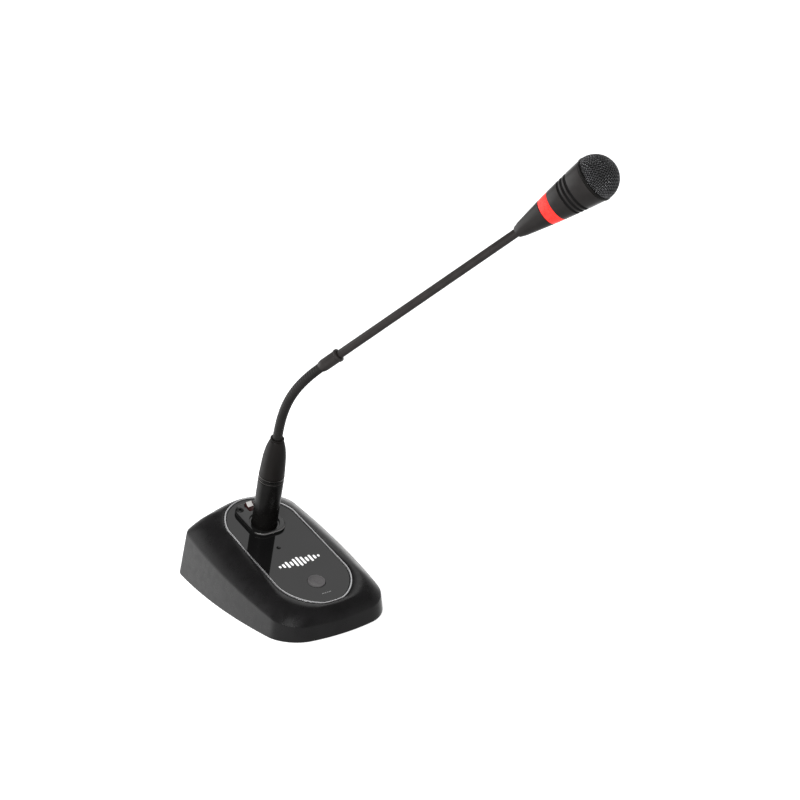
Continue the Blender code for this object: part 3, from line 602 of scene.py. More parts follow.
panel_place = frame_at(
    (0, SOCKET_Y, PANEL_HEIGHT + PANEL_SLOPE * SOCKET_Y), (1, 0, 0), joint("mic_unplug")["axis"]
)
tilts = [Vector(joint(f"neck_tilt_{i}")["pos_m"]) for i in range(1, 6)]
swings = [Vector(joint(f"neck_swing_{i}")["pos_m"]) for i in range(1, 5)]
pivots = [tilts[i // 2] if i % 2 == 0 else swings[i // 2] for i in range(9)]
neck_side = Vector(joint("neck_tilt_1")["axis"])
tube_place = frame_at(pivots[-1], neck_side, centre_of("neck_tube") - pivots[-1])
head_low = reach("head_cone", tube_place)[0]
head_place = tube_place @ Matrix.Translation((0, 0, head_low))


# ---- base shape


def outline(shape, inset=0.0):
    """(x, y) points round one of the base outlines, moved in by inset, with the same number for each."""
    back_half = shape["back_half"] - inset
    front_half = shape["front_half"] - inset
    back_y = shape["back"] - inset
    front_y = shape["front"] + inset

    def back(t):
        return Vector((back_half * t, back_y + shape["back_bulge"] * (1 - t * t)))

    def side(t):
        bulge = shape["side_bulge"] * 4 * t * (1 - t)
        return Vector((back_half + (front_half - back_half) * t + bulge, back_y + (front_y - back_y) * t))

    def front(t):
        return Vector((front_half * (1 - t), front_y - shape["front_bulge"] * (1 - (1 - t) ** 2)))

    def stretch(edge, start, end, steps):
        return [edge(start + (end - start) * i / steps) for i in range(steps + 1)]

    def corner(before, at, after):
        points = []
        for i in range(1, CORNER_STEPS + 1):
            t = i / (CORNER_STEPS + 1)
            weights = ((1 - t) ** 2, 2 * t * (1 - t) * CORNER_WEIGHT, t * t)
            total = before * weights[0] + at * weights[1] + after * weights[2]
            points.append(total / sum(weights))
        return points

    length = back_y - front_y
    back_trim = shape["back_corner"]
    front_trim = shape["front_corner"]
    along_back = stretch(back, 0, 1 - back_trim / back_half, EDGE_STEPS)
    along_side = stretch(side, back_trim / length, 1 - front_trim / length, SIDE_STEPS)
    along_front = stretch(front, front_trim / front_half, 1, EDGE_STEPS)
    right = along_back + corner(along_back[-1], side(0), along_side[0]) + along_side
    right += corner(along_side[-1], side(1), along_front[0]) + along_front
    left = [Vector((-point.x, point.y)) for point in reversed(right[1:-1])]
    return right + left


def level_loop(shape, z, inset=0.0):
    return [Vector((p.x, p.y, z)) for p in outline(shape, inset)]


def shoulder_loop(inset=0.0, drop=0.0):
    points = outline(SHOULDER, inset)
    return [Vector((p.x, p.y, SHOULDER_HEIGHT + SHOULDER_SLOPE * p.y - drop)) for p in points]


def panel_loop(inset=0.0, depth=0.0):
    """The panel outline on the panel plane, moved in by inset and down along the plane's normal."""
    shift_y = depth * math.sin(PANEL_TILT)
    shift_z = depth * math.cos(PANEL_TILT)
    points = outline(PANEL, inset)
    return [Vector((p.x, p.y + shift_y, PANEL_HEIGHT + PANEL_SLOPE * p.y - shift_z)) for p in points]


def between(first, second, share, lift=0.0):
    return [a.lerp(b, share) + Vector((0, 0, lift)) for a, b in zip(first, second)]


def eased(first, middle, last, steps):
    """Loops that round off the corner at middle, from first to last."""
    loops = []
    for k in range(steps + 1):
        t = k / steps
        w = ((1 - t) ** 2, 2 * t * (1 - t), t * t)
        loops.append([a * w[0] + b * w[1] + c * w[2] for a, b, c in zip(first, middle, last)])
    return loops


def rear_place():
    """A frame on the back wall of the skirt, its z axis pointing straight out of the wall."""
    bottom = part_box("upper_housing")[0].z
    low = Vector((SKIRT["back"] + SKIRT["back_bulge"], bottom))
    high_y = SHOULDER["back"] + SHOULDER["back_bulge"]
    high = Vector((high_y, SHOULDER_HEIGHT + SHOULDER_SLOPE * high_y))
    wall = (high - low).normalized()
    lowest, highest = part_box("rear_connector_insert")
    plate_low, plate_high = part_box("rear_connector_shell")
    out = Vector((0, wall.y, -wall.x))
    middle = (plate_low + plate_high) / 2
    at = low + wall * ((middle.z - low.y) / wall.y)
    core = (lowest + highest) / 2
    origin = Vector((0, at.x, at.y))
    origin += Vector((0, 0, 1)) * ((core - origin).z - out.z * (core - origin).y / out.y)
    return frame_at(origin, (1, 0, 0), out)


def housing_shell():
    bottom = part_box("upper_housing")[0].z
    skirt = level_loop(SKIRT, bottom)
    shoulder = shoulder_loop()
    rim = panel_loop(-GAP)

    def crown(t):
        return between(shoulder, rim, t, SHOULDER_BULGE * 4 * t * (1 - t))

    loops = [level_loop(SKIRT, bottom, 0.7 * MM)]
    loops += eased(level_loop(SKIRT, bottom, 0.5 * MM), skirt, between(skirt, shoulder, 0.03), 3)
    loops += [between(skirt, shoulder, t) for t in (0.2, 0.4, 0.6, 0.8, 0.94)]
    loops += eased(between(skirt, shoulder, 0.972), shoulder, crown(0.035), 4)
    loops += [crown(0.06 + 0.9 * i / 16) for i in range(17)]
    loops += eased(crown(0.975), crown(1.0), panel_loop(-GAP, 0.4 * MM), 3)
    ledge_bottom = LEDGE_DEPTH + LEDGE_THICKNESS
    inner_shoulder = shoulder_loop(HOUSING_WALL, 1.5 * MM)
    inner_rim = panel_loop(1.0 * MM, ledge_bottom)
    loops += [panel_loop(-GAP, LEDGE_DEPTH), panel_loop(LEDGE_WIDTH, LEDGE_DEPTH)]
    loops += [panel_loop(LEDGE_WIDTH, ledge_bottom), inner_rim]
    loops += [between(inner_rim, inner_shoulder, 0.5, 1.2 * MM), inner_shoulder]
    loops += [level_loop(SKIRT, bottom, HOUSING_WALL)]
    shell = lofted(loops, closed=True)
    opening = reach("rear_connector_insert", rear)[2] + REAR_OPENING_MARGIN
    shell = carved(shell, [cylinder(opening, -12 * MM, 6 * MM)], place=rear)
    piece("housing_shell", shell, "housing", "base", ["upper_housing"], sharp=30)


# ---- panel


def trim_band():
    loops = [panel_loop(0, LEDGE_DEPTH - GAP)]
    for k in range(9):
        turn = math.pi * k / 8
        rise = TRIM_HEIGHT * math.sin(turn) ** 0.4
        loops.append(panel_loop(TRIM_SHOWN * (1 - math.cos(turn)) / 2, -rise))
    loops.append(panel_loop(TRIM_SHOWN, LEDGE_DEPTH - GAP))
    piece("trim_band", lofted(loops, closed=True), "trim", "base", ["trim_ring"], sharp=60)


def panel_plate():
    inset = TRIM_SHOWN + GAP / 2
    loops = [panel_loop(inset, PANEL_THICKNESS), panel_loop(inset, PLATE_EDGE)]
    loops += [panel_loop(inset + 0.08 * MM, 0.08 * MM), panel_loop(inset + PLATE_EDGE, 0)]
    low, high = -PANEL_THICKNESS - 2 * MM, 2 * MM
    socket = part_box("socket_insert")
    tube = (socket[1].x - socket[0].x) / 2 + SOCKET_TUBE_WALL + 2 * GAP
    button = reach("talk_button", key_place)[2] - BUTTON_FLANGE + GAP
    cutters = [cylinder(tube, low, high), cylinder(button, low, high, centre=(0, button_y))]
    x, y = SOCKET_SCREW_PLACE
    cutters += [cylinder(SCREW_HOLE, low, high, ROUND_SMALL, (side * x, y)) for side in (1, -1)]
    plate = carved(lofted(loops), cutters, place=panel_place)
    piece("panel_plate", plate, "panel", "base", ["face_panel"], sharp=6)


def talk_key():
    low, high, flange = reach("talk_button", key_place)
    radius = flange - BUTTON_FLANGE
    under = -PANEL_THICKNESS - GAP
    points = [(2 * MM, low, 0), (2 * MM, under - MM, 0), (flange, under - MM, 0.1 * MM), (flange, under, 0)]
    points += [(radius, under, 0), (radius, high, 0.7 * MM), (radius - 1.1 * MM, high, 0.4 * MM)]
    points += [(radius - 1.5 * MM, high - 0.3 * MM, 0.3 * MM), (3.2 * MM, high - 0.42 * MM, MM)]
    points += [(0.4 * MM, high - 0.46 * MM, 0)]
    piece("talk_key", turned(points), "button", "talk_button", ["talk_button"], key_place)
    glyph = microphone_glyph(high - 0.5 * MM, high - 0.2 * MM)
    piece("talk_key_glyph", glyph, "button", "talk_button", place=key_place)


def ribbon(points, width, low, high):
    """A flat strip of the given width along (x, y) points, between two heights."""
    path = [Vector(p) for p in points]
    left, right = [], []
    for i, at in enumerate(path):
        along = path[min(i + 1, len(path) - 1)] - path[max(i - 1, 0)]
        across = Vector((-along.y, along.x)).normalized() * width / 2
        left.append(at + across)
        right.append(at - across)
    around = left + right[::-1]
    return lofted([[(p.x, p.y, z) for p in around] for z in (low, high)])


def capsule_shape(half_x, half_y, low, high, centre=(0, 0)):
    """A bar with fully rounded ends, standing up along y."""
    corner = half_x * 0.98
    return lofted([rounded_rectangle(half_x, half_y, corner, z, 24, centre) for z in (low, high)])


def microphone_glyph(low, high):
    """A plain microphone sign: a bar in a cradle on a stem."""
    cradle = []
    for i in range(13):
        turn = math.pi * (1 + i / 12)
        cradle.append((2.1 * MM * math.cos(turn), 0.4 * MM + 2.1 * MM * math.sin(turn)))
    parts = [capsule_shape(1.0 * MM, 1.9 * MM, low, high, (0, 1.1 * MM))]
    parts.append(ribbon(cradle, 0.5 * MM, low, high))
    parts.append(box(0.25 * MM, 0.65 * MM, low, high, (0, -2.5 * MM)))
    parts.append(box(1.2 * MM, 0.25 * MM, low, high, (0, -3.4 * MM)))
    return merged(parts)


def printed_marks():
    middle = (len(BAR_HEIGHTS) - 1) / 2
    bars = []
    for i, height in enumerate(BAR_HEIGHTS):
        centre = (BARS_CENTRE[0] + (i - middle) * BAR_PITCH, BARS_CENTRE[1])
        bars.append(capsule_shape(BAR_WIDTH / 2, height / 2 * MM, 0, PRINT_THICKNESS, centre))
    piece("level_bars_print", merged(bars), "print", "base", place=panel_place)
    dashes = []
    for x in DASHES_X:
        centre = (x * MM, button_y - DASHES_BELOW_BUTTON)
        dashes.append(box(0.7 * MM, 0.45 * MM, 0, PRINT_THICKNESS, centre))
    piece("button_dashes_print", merged(dashes), "grey_print", "base", place=panel_place)
    points = [(1.6 * MM, 0, 0), (1.6 * MM, 0.12 * MM, 0.08 * MM), (MM, 0.3 * MM, 0.4 * MM)]
    points += [(0.2 * MM, 0.34 * MM, 0)]
    lens = turned(points, steps=ROUND_SMALL, centre=INDICATOR_PLACE)
    piece("indicator_lens", lens, "barrel", "base", place=panel_place)


# ---- panel socket


def socket_plate():
    low, high, _ = reach("socket_flange", panel_place)
    plate, tube, bore = socket_sizes("socket_flange", panel_place)
    half_x = max(p.x for p in plate)
    ends = (min(p.y for p in plate), max(p.y for p in plate))
    middle, half_y = sum(ends) / 2, (ends[1] - ends[0]) / 2

    def edge_loop(inset, z, corner=SOCKET_CORNER):
        return rounded_rectangle(half_x - inset, half_y - inset, corner - inset, z, centre=(0, middle))

    loops = [circle(tube, low), circle(tube, GAP), edge_loop(0, GAP), edge_loop(0, high - 0.9 * MM)]
    loops += [edge_loop(0.12 * MM, high - 0.45 * MM), edge_loop(0.4 * MM, high - 0.15 * MM)]
    loops += [edge_loop(MM, high), circle(bore + 1.5 * MM, high), circle(bore + 1.3 * MM, high - 0.2 * MM)]
    loops += [circle(bore + 1.2 * MM, high - 1.0 * MM), circle(bore, high - 1.0 * MM), circle(bore, low)]
    x, y = SOCKET_SCREW_PLACE
    floor = high - SCREW_SEAT_DEPTH
    seat = [(SCREW_HOLE, -MM, 0), (SCREW_HOLE, floor, 0), (SCREW_SEAT, floor, 0), (SCREW_SEAT, high + MM, 0)]
    cutters = [rounded_slot()]
    for side in (1, -1):
        cutters.append(turned(seat, steps=ROUND_SMALL, centre=(side * x, y)))
    shell = carved(lofted(loops, closed=True), cutters)
    piece("socket_plate", shell, "socket", "base", ["socket_flange"], panel_place, 30)
    # A ring round the socket plate's top edge; its look paints a highlight along the front.
    bevel = ((0.3, -1.2), (-0.02, -1.1), (-0.02, -0.85), (0.12, -0.42), (0.42, -0.14), (0.8, 0), (0.9, -0.4))
    loops = [edge_loop(inset * MM, high + z * MM) for inset, z in bevel]
    piece("socket_edge", lofted(loops, closed=True), "edge", "base", place=panel_place)


def latch_span():
    """Local y of the latch's middle, and half its length."""
    along = [p.y for p in points_in("latch_tab", panel_place)]
    front, back = min(along), max(along)
    return (front + back) / 2, (back - front) / 2


def rounded_slot():
    middle, length = latch_span()
    size = (latch_half() + 0.5 * MM, length + 0.5 * MM)
    return lofted([rounded_rectangle(*size, MM, z, ROUND_SMALL, (0, middle)) for z in (0, 5 * MM)])


def latch_half():
    low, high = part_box("latch_tab")
    return (high.x - low.x) / 2


def latch_section(wide, y, bottom, top):
    """A cross-section of the lever, with its top edges rounded."""
    edge = 0.35 * MM
    around = [(-wide, bottom), (wide, bottom), (wide, top - edge), (wide - edge * 0.3, top - edge * 0.3)]
    around += [(wide - edge, top), (-wide + edge, top), (-wide + edge * 0.3, top - edge * 0.3)]
    around.append((-wide, top - edge))
    return [(x, y, z) for x, z in around]


def latch_lever():
    """Release lever: a dark plate that rises in a curve, with a bright ribbed lip, and the seal round it."""
    pivot = panel_place.inverted() @ Vector(joint("latch_press")["pos_m"])
    place = panel_place @ Matrix.Translation(pivot)
    half = latch_half()
    loops, lip = [], []
    for i in range(LATCH_STATIONS + 1):
        t = i / LATCH_STATIONS
        y = (-0.5 + LATCH_LENGTH * t) * MM
        rise = max(0.0, t - 0.4) / 0.6
        top = (0.9 + 0.4 * t + 1.8 * rise**1.6) * MM
        if rise > 0.45:
            top += 0.12 * MM * math.cos(rise * 34)
        bottom = (-0.7 + 0.2 * t + 2.4 * rise**1.8) * MM
        wide = half - (0.5 * MM if i in (0, LATCH_STATIONS) else 0)
        loops.append(latch_section(wide, y, bottom, top))
        if i >= LATCH_LIP_START:
            wide = half - (1.3 * MM if i in (LATCH_LIP_START, LATCH_STATIONS) else 1.0 * MM)
            lip.append(latch_section(wide, y, bottom + 0.4 * MM, top + 0.25 * MM))
    piece("latch_lever", lofted(loops), "seal", "latch_tab", ["latch_tab"], place)
    piece("latch_lip", lofted(lip), "latch", "latch_tab", place=place)
    middle, length = latch_span()
    length += 0.3 * MM
    loops = []
    for inset, z in ((0, 0.02 * MM), (0, 0.25 * MM), (0.2 * MM, 0.35 * MM)):
        size = (half + 0.3 * MM - inset, length - inset)
        loops.append(rounded_rectangle(*size, MM - inset, z, ROUND_SMALL, (0, middle)))
    piece("latch_seal", lofted(loops), "seal", "base", place=panel_place)


def fine_screw(name, node, out, look):
    """A socket-head screw with a rounded head, in place of a CAD screw whose head faces along out."""
    centre = centre_of(node)
    place = frame_at(centre, (1, 0, 0), out)
    low, high, head = reach(node, place)
    shank = head * 0.52
    points = [(shank * 0.6, low, 0), (shank, low + shank, 0), (shank, high - 0.9 * MM, 0)]
    points += [(head, high - 0.9 * MM, 0.1 * MM), (head, high, 0.45 * MM), (head * 0.62, high, 0.12 * MM)]
    loops = [circle(radius, z, ROUND_SMALL) for radius, z in softened(points)]
    loops += [hexagon(head * 0.55, high - 0.1 * MM), hexagon(head * 0.55, high - 0.7 * MM)]
    piece(name, lofted(loops), look, "base", [node], place)


# ---- plug


def plug_barrel():
    low, high, radius = reach("plug_shell", panel_place)
    bore = radius - BARREL_WALL
    points = [(bore, low, 0.15 * MM), (radius, low, 0.5 * MM), (radius, high, 0.45 * MM)]
    points += [(bore, high, 0)]
    turned_piece("plug_barrel", points, "barrel", "mic_plug", "plug_shell", panel_place)
    low, high, _ = reach("plug_band", panel_place)
    step, floor = radius - BAND_STEP, radius - BAND_GROOVE
    points = [(bore, low, 0), (step, low, 0.1 * MM), (step, low + 0.6 * MM, 0)]
    points += [(floor, low + 0.8 * MM, 0), (floor, high - 0.8 * MM, 0)]
    points += [(step, high - 0.6 * MM, 0), (step, high, 0.1 * MM), (bore, high, 0)]
    turned_piece("plug_band_ring", points, "barrel", "mic_plug", "plug_band", panel_place)
    for number, z in ((1, low + 0.45 * MM), (2, high - 0.45 * MM)):
        under, over = z - BAND_LINE, z + BAND_LINE
        points = [(radius - BAND_LINE, under, 0), (radius, under, 0.2 * MM), (radius, over, 0.2 * MM)]
        points += [(radius - BAND_LINE, over, 0)]
        turned_piece(f"plug_line_{number}", points, "line", "mic_plug", None, panel_place)


def boot():
    start = reach("plug_band", panel_place)[1] + GAP
    root = (panel_place.inverted() @ pivots[0]).z
    end = root - 1.3 * MM
    radius = reach("plug_boot", panel_place)[2]
    points = [(radius - 1.5 * MM, start, 0), (radius, start, 0.35 * MM)]
    for i in range(1, BOOT_STATIONS + 1):
        t = i / BOOT_STATIONS
        points.append((radius - 1.5 * MM * t - 3.0 * MM * t**4, start + (end - 1.5 * MM - start) * t, 0))
    lip = radius - 4.5 * MM
    points += [(lip - 0.3 * MM, end - 1.3 * MM, 0.1 * MM), (lip + 0.25 * MM, end - 0.9 * MM, 0.3 * MM)]
    points += [(lip + 0.25 * MM, end + 0.1 * MM, 0.4 * MM), (NECK_INNER + 0.9 * MM, end + 0.1 * MM, 0.2 * MM)]
    points += [(NECK_INNER + 0.8 * MM, end - 3 * MM, 0)]
    piece("boot", turned(points), "boot", "mic_plug", ["plug_boot"], panel_place)


# ---- neck


def sleeve_span(first, control, last):
    """A ribbed tube along the curve that leaves first towards control and arrives at last from it."""
    rows = NECK_RIDGES * RIDGE_STEPS
    radius = reach("neck_link_4", frame_at(pivots[3], neck_side, pivots[4] - pivots[3]))[2]
    outer, inner = [], []
    for i in range(rows + 1):
        t = i / rows
        at = first * (1 - t) ** 2 + control * 2 * t * (1 - t) + last * t * t
        along = ((control - first) * (1 - t) + (last - control) * t).normalized()
        up = along.cross(neck_side).normalized()
        share = (t * NECK_RIDGES) % 1.0
        bulge = NECK_RIDGE_DEPTH * (1 - (2 * share - 1) ** 4) if 0 < i < rows else 0.0
        for loops, reach_out in ((outer, radius - NECK_RIDGE_DEPTH + bulge), (inner, NECK_INNER)):
            loops.append(ring(at, neck_side, up, reach_out, ROUND_SMALL))
    return lofted(outer + inner[::-1], closed=True)


def neck_sleeve():
    """The flexible sleeve, in spans that each bend across one pivot, from mid-link to mid-link."""
    middles = [(a + b) / 2 for a, b in zip(pivots, pivots[1:])]
    start = pivots[0] - (panel_place.to_3x3() @ Vector((0, 0, 1))) * 3.5 * MM
    end = pivots[-1] + (tube_place.to_3x3() @ Vector((0, 0, 1))) * 4.5 * MM
    stops = [start, *middles, end]
    for i, pivot in enumerate(pivots):
        first, last = stops[i], stops[i + 1]
        made = piece(f"neck_sleeve_{i + 1}", sleeve_span(first, pivot, last), "sleeve")
        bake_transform(made)
        if i > 0:
            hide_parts(f"neck_link_{i}")


def collar():
    _, high, radius = reach("neck_collar", tube_place)
    slim = radius - 0.5 * MM
    neck = NECK_INNER + 0.75 * MM
    bore = reach("neck_tube", tube_place)[2] + GAP / 3
    points = [(neck, 1.0 * MM, 0.1 * MM), (NECK_INNER + 1.1 * MM, 0.8 * MM, 0.2 * MM)]
    points += [(slim, 3.6 * MM, 1.2 * MM), (slim, high - 3.0 * MM, 0.2 * MM)]
    points += [(slim - 0.25 * MM, high - 2.9 * MM, 0), (slim - 0.25 * MM, high - 2.6 * MM, 0)]
    points += [(radius, high - 2.4 * MM, 0.25 * MM), (radius, high - 0.3 * MM, 0.5 * MM)]
    points += [(bore + 0.3 * MM, high, 0.3 * MM), (bore, high - MM, 0)]
    points += [(bore, 5.2 * MM, 0), (neck, 5.0 * MM, 0)]
    turned_piece("collar", points, "tube", "neck_and_head", "neck_collar", tube_place)


def tube():
    low, high, radius = reach("neck_tube", tube_place)
    bore = radius - MM
    points = [(bore, low, 0), (radius, low, 0.1 * MM), (radius, high, 0.1 * MM), (bore, high, 0)]
    wall = turned(points, closed=True, steps=TUBE_STEPS)
    piece("tube", wall, "tube", "neck_and_head", ["neck_tube"], tube_place)


# ---- head


def head_radius(z):
    """Outer radius of the head's slightly rounded taper, z from the head's narrow end."""
    along = z - HEAD_TAPER_START
    return HEAD_RADIUS + HEAD_TAPER * along - HEAD_ROUNDING * along**2


def head_cone():
    bore = reach("neck_tube", tube_place)[2] + 0.05 * MM
    end = reach("light_ring", head_place)[0] - GAP
    top = end + SPIGOT_LENGTH
    lip = bore - 0.05 * MM + 0.9 * MM
    points = [(bore, 0, 0), (lip, 0, 0.4 * MM), (HEAD_RADIUS - 0.5 * MM, 4.0 * MM, 1.5 * MM)]
    points += [(head_radius(HEAD_TAPER_START), HEAD_TAPER_START, MM), (head_radius(end), end, 0.3 * MM)]
    points += [(SPIGOT_RADIUS, end, 0), (SPIGOT_RADIUS, top, 0), (SPIGOT_RADIUS - 2 * MM, top, 0)]
    points += [(SPIGOT_RADIUS - 2 * MM, 13 * MM, 0), (bore, 9 * MM, 0)]
    turned_piece("head_cone_shell", points, "head", "neck_and_head", "head_cone", head_place)


def lit_ring():
    low, high, _ = reach("light_ring", head_place)
    points = [(RING_BORE, low, 0), (head_radius(low) - RING_INSET, low, 0.35 * MM)]
    for i in range(1, RING_STEPS):
        z = low + (high - low) * i / RING_STEPS
        swell = RING_INSET * math.sin(math.pi * i / RING_STEPS)
        points.append((head_radius(z) - RING_INSET + swell, z, 0))
    points += [(head_radius(high) - RING_INSET, high, 0.35 * MM), (RING_BORE, high, 0)]
    turned_piece("lit_ring", points, "lens", "neck_and_head", "light_ring", head_place)


def head_barrel():
    low, high, _ = reach("head_body", head_place)
    points = [(BARREL_MOUTH, low, 0), (head_radius(low), low, 0.3 * MM)]
    for middle in GROOVES:
        for at, depth in ((-0.5, 0), (-0.38, 1), (0.38, 1), (0.5, 0)):
            z = middle + at * GROOVE_WIDTH
            points.append((head_radius(z) - depth * GROOVE_DEPTH, z, 0.22 * MM))
    points += [(head_radius(high), high, 0.45 * MM), (head_radius(high) - HEAD_WALL, high, 0)]
    points += [(head_radius(46 * MM) - HEAD_WALL, 46 * MM, 0), (RING_BORE, 44 * MM, 0)]
    points += [(RING_BORE, low + BARREL_MOUTH_DEPTH, 0), (BARREL_MOUTH, low + BARREL_MOUTH_DEPTH, 0)]
    turned_piece("head_barrel", points, "head", "neck_and_head", "head_body", head_place)


def groove_shade_bands():
    """Painted shade: a matt black band laid in each groove of the head, to darken it."""
    for number, middle in enumerate(GROOVES, start=1):
        low, high = middle - 0.4 * GROOVE_WIDTH, middle + 0.4 * GROOVE_WIDTH
        floor = head_radius(middle) - GROOVE_DEPTH
        points = [(floor - 0.1 * MM, low, 0), (floor + 0.6 * MM, low, 0)]
        points += [(floor + 0.25 * MM, middle, 0.5 * MM), (floor + 0.6 * MM, high, 0)]
        points += [(floor - 0.1 * MM, high, 0)]
        # The matt black look on these bands is painted shade in the grooves.
        turned_piece(f"groove_shade_band_{number}", points, "foam", "neck_and_head", None, head_place)


def grille_rim():
    low, high, radius = reach("grille_ring", head_place)
    inner = radius - RIM_WIDTH
    points = [(inner, low, 0), (radius - 0.1 * MM, low, 0.3 * MM), (radius, low + MM, 0.4 * MM)]
    points += [(radius, high, 0.3 * MM), (radius - 0.8 * MM, high + 0.3 * MM, 0.3 * MM), (inner, high, 0)]
    turned_piece("grille_rim", points, "barrel", "neck_and_head", "grille_ring", head_place)


def wire(path, radius):
    """A closed round wire along a path of points with their outward directions."""
    loops = []
    for i, (at, out) in enumerate(path):
        along = (path[min(i + 1, len(path) - 1)][0] - path[max(i - 1, 0)][0]).normalized()
        side = along.cross(out).normalized()
        loops.append(ring(at, side, side.cross(along), radius, WIRE_SIDES))
    return lofted(loops)


def grille_mesh():
    """Woven wire cloth pressed into a dome: two sets of wires that go over and under each other."""
    low, high, radius = reach("grille", head_place)
    centre = Vector((0, 0, high - radius))
    middle = radius - WIRE_RADIUS - WIRE_WAVE
    rim_angle = math.asin(max(-1.0, min(1.0, (low - centre.z) / middle)))
    limit = middle * math.pi / 2 - rim_angle * middle
    count = int(limit / WIRE_PITCH)
    wires = []
    for family in (0, 1):
        for number in range(-count, count + 1):
            across = number * WIRE_PITCH
            half = math.sqrt(limit * limit - across * across)
            steps = max(4, int(2 * half / WIRE_STEP))
            path = []
            for i in range(steps + 1):
                run = -half + 2 * half * i / steps
                u, v = (across, run) if family == 0 else (run, across)
                angle = math.hypot(u, v) / middle
                heading = math.atan2(v, u)
                slant = math.sin(angle)
                out = Vector((slant * math.cos(heading), slant * math.sin(heading), math.cos(angle)))
                wave = WIRE_WAVE * math.cos(math.pi * (run / WIRE_PITCH + number))
                path.append((centre + out * (middle + (wave if family == 0 else -wave)), out))
            wires.append(wire(path, WIRE_RADIUS))
    piece("grille_mesh", merged(wires), "wire", "neck_and_head", ["grille"], head_place)
    foam = middle - WIRE_RADIUS - WIRE_WAVE - 0.2 * MM
    inner = foam - FOAM_THICKNESS
    points = [(inner, low, 0), (foam, low, 0)]
    arcs = [(foam, i) for i in range(1, FOAM_STEPS)] + [(inner, i) for i in range(FOAM_STEPS - 1, -1, -1)]
    for size, i in arcs:
        turn = math.pi / 2 * i / FOAM_STEPS
        points.append((size * math.cos(turn), centre.z + size * math.sin(turn), 0))
    turned_piece("grille_foam", points, "foam", "neck_and_head", None, head_place)


# ---- rear connector


def rear_plate():
    low, high, _ = reach("rear_connector_shell", rear)
    plate, tube_radius, bore = socket_sizes("rear_connector_shell", rear)
    half = (max(p.x for p in plate), max(p.y for p in plate))
    under = 2 * GAP
    loops = [circle(tube_radius, low), circle(tube_radius, under)]
    for inset, z in ((0, under), (0, high - 0.7 * MM), (0.12 * MM, high - 0.3 * MM), (0.5 * MM, high)):
        loops.append(rounded_rectangle(half[0] - inset, half[1] - inset, REAR_CORNER, z))
    loops += [circle(bore + 1.6 * MM, high), circle(bore + 1.5 * MM, high - 0.3 * MM)]
    loops += [circle(bore + 0.4 * MM, high - 0.3 * MM), circle(bore, high - 0.7 * MM), circle(bore, low)]
    holes = []
    for name in ("rear_screw_1", "rear_screw_2"):
        at = rear.inverted() @ centre_of(name)
        holes.append(cylinder(1.5 * MM, under - MM, high + MM, ROUND_SMALL, (at.x, at.y)))
    shell = carved(lofted(loops, closed=True), holes)
    piece("rear_plate", shell, "socket", "base", ["rear_connector_shell"], rear, 30)


# ---- carried-over CAD nodes


CARRIED = {
    "rubber": ["base_pad", "capsule_holder"],
    "inner": ["bottom_cover", "tact_switch", "socket_insert", "plug_insert", "rear_connector_insert"],
    "steel": [f"base_screw_{i}" for i in range(1, 5)] + [f"rear_pin_{i}" for i in range(1, 4)] + ["capsule"],
    "gold": [f"{kind}_{i}" for kind in ("socket_contact", "plug_pin") for i in range(1, 4)],
    "cast": ["ballast_weight"],
    "board": ["circuit_board", "light_board"],
}


def dress_cad():
    for look, names in CARRIED.items():
        for name in names:
            mesh = frame["nodes"][name].data
            mesh.materials.clear()
            mesh.materials.append(LOOKS[look])


# ---- studio


def camera():
    a, e = CAMERA_AZIMUTH, CAMERA_ELEVATION
    right = Vector((math.cos(a), math.sin(a), 0))
    back = Vector((math.sin(a) * math.cos(e), -math.cos(a) * math.cos(e), math.sin(e)))
    up = back.cross(right)
    data = bpy.data.cameras.new("camera")
    data.lens = CAMERA_LENS
    data.clip_start = 0.1
    data.clip_end = 100
    made = linked("camera", data)
    spot = right * CAMERA_AIM[0] + up * CAMERA_AIM[1] + back * CAMERA_DISTANCE
    made.matrix_world = frame_at(spot, right, back)
    bpy.context.scene.camera = made


def softbox(name, size, power, mirrored):
    """A square lamp on the key side that faces the base, and that shiny pieces mirror or don't."""
    data = bpy.data.lights.new(name, "AREA")
    data.size = size
    data.energy = power
    made = linked(name, data)
    made.visible_glossy = mirrored
    out = Vector(KEY_FROM).normalized()
    made.matrix_world = frame_at(out * LAMP_DISTANCE, Vector((0, 0, 1)).cross(out), out)


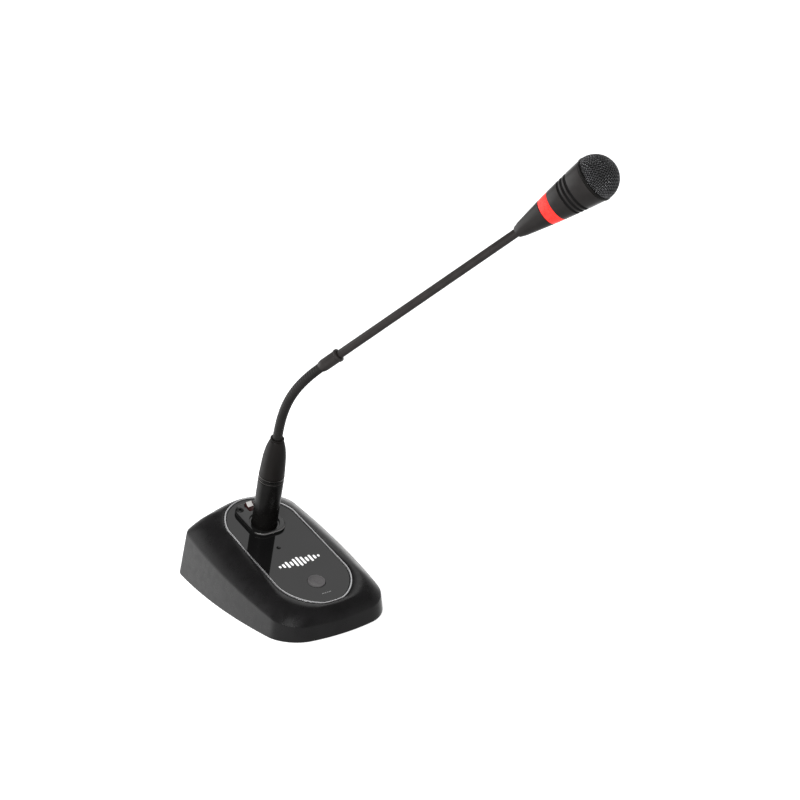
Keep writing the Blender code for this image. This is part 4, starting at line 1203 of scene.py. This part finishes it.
class Surround:
    """The world's light: a level for floor and sky, plus soft round cards, behind a white backdrop."""

    def __init__(self):
        world = bpy.data.worlds.new("studio")
        world.use_nodes = True
        bpy.context.scene.world = world
        self.tree = world.node_tree
        self.nodes, self.links = self.tree.nodes, self.tree.links
        self.where = self.nodes.new("ShaderNodeTexCoord").outputs["Generated"]
        split = self.nodes.new("ShaderNodeSeparateXYZ")
        self.links.new(self.where, split.inputs["Vector"])
        self.light = self.eased(split.outputs["Z"], FLOOR_EDGE, SKY_EDGE, FLOOR_LIGHT, SKY_LIGHT)

    def eased(self, value, *ends):
        return spread(self.tree, value, *ends, "SMOOTHSTEP")

    def card(self, out, inner, outer, light):
        """Adds a round card seen along out, fully lit within inner degrees and dark beyond outer."""
        dot = self.nodes.new("ShaderNodeVectorMath")
        dot.operation = "DOT_PRODUCT"
        self.links.new(self.where, dot.inputs[0])
        dot.inputs[1].default_value = out.normalized()
        start, end = math.cos(math.radians(outer)), math.cos(math.radians(inner))
        add = self.nodes.new("ShaderNodeMath")
        self.links.new(self.light, add.inputs[0])
        self.links.new(self.eased(dot.outputs["Value"], start, end, 0.0, light), add.inputs[1])
        self.light = add.outputs["Value"]

    def finish(self):
        """Shows plain white to the camera, and the lights to everything else."""
        seen = self.nodes.new("ShaderNodeLightPath").outputs["Is Camera Ray"]
        mix = self.nodes.new("ShaderNodeMix")
        self.links.new(seen, mix.inputs["Factor"])
        self.links.new(self.light, mix.inputs["A"])
        mix.inputs["B"].default_value = 1.0
        self.links.new(mix.outputs["Result"], self.nodes["Background"].inputs["Strength"])
        self.nodes["Background"].inputs["Color"].default_value = (1.0, 1.0, 1.0, 1.0)


def studio():
    half = FLOOR_HALF
    corners = ((-half, -half), (half, -half), (half, half), (-half, half))
    floor = piece("floor", lofted([[(x, y, z) for x, y in corners] for z in (-0.02, 0.0)]), "floor")
    floor.visible_glossy = floor.visible_diffuse = floor.visible_shadow = False
    surround = Surround()
    for card in CARDS:
        surround.card(Vector(card[0]), *card[1:])
    surround.finish()
    softbox("key_box", KEY_SIZE, KEY_POWER, False)
    softbox("glint_box", GLINT_SIZE, GLINT_POWER, True)
    bpy.context.scene.view_settings.view_transform = "Standard"


# ---- assembly


rear = rear_place()
button_y = (panel_place.inverted() @ centre_of("talk_button")).y
key_place = panel_place @ Matrix.Translation((0, button_y, 0))
housing_shell()
trim_band()
panel_plate()
talk_key()
printed_marks()
socket_plate()
latch_lever()
panel_out = Vector(joint("mic_unplug")["axis"])
rear_out = rear.to_3x3() @ Vector((0, 0, 1))
for number in (1, 2):
    fine_screw(f"socket_bolt_{number}", f"socket_screw_{number}", panel_out, "black_steel")
    fine_screw(f"rear_bolt_{number}", f"rear_screw_{number}", rear_out, "steel")
plug_barrel()
boot()
neck_sleeve()
collar()
tube()
head_cone()
lit_ring()
head_barrel()
groove_shade_bands()
grille_rim()
grille_mesh()
rear_plate()
dress_cad()
camera()
studio()
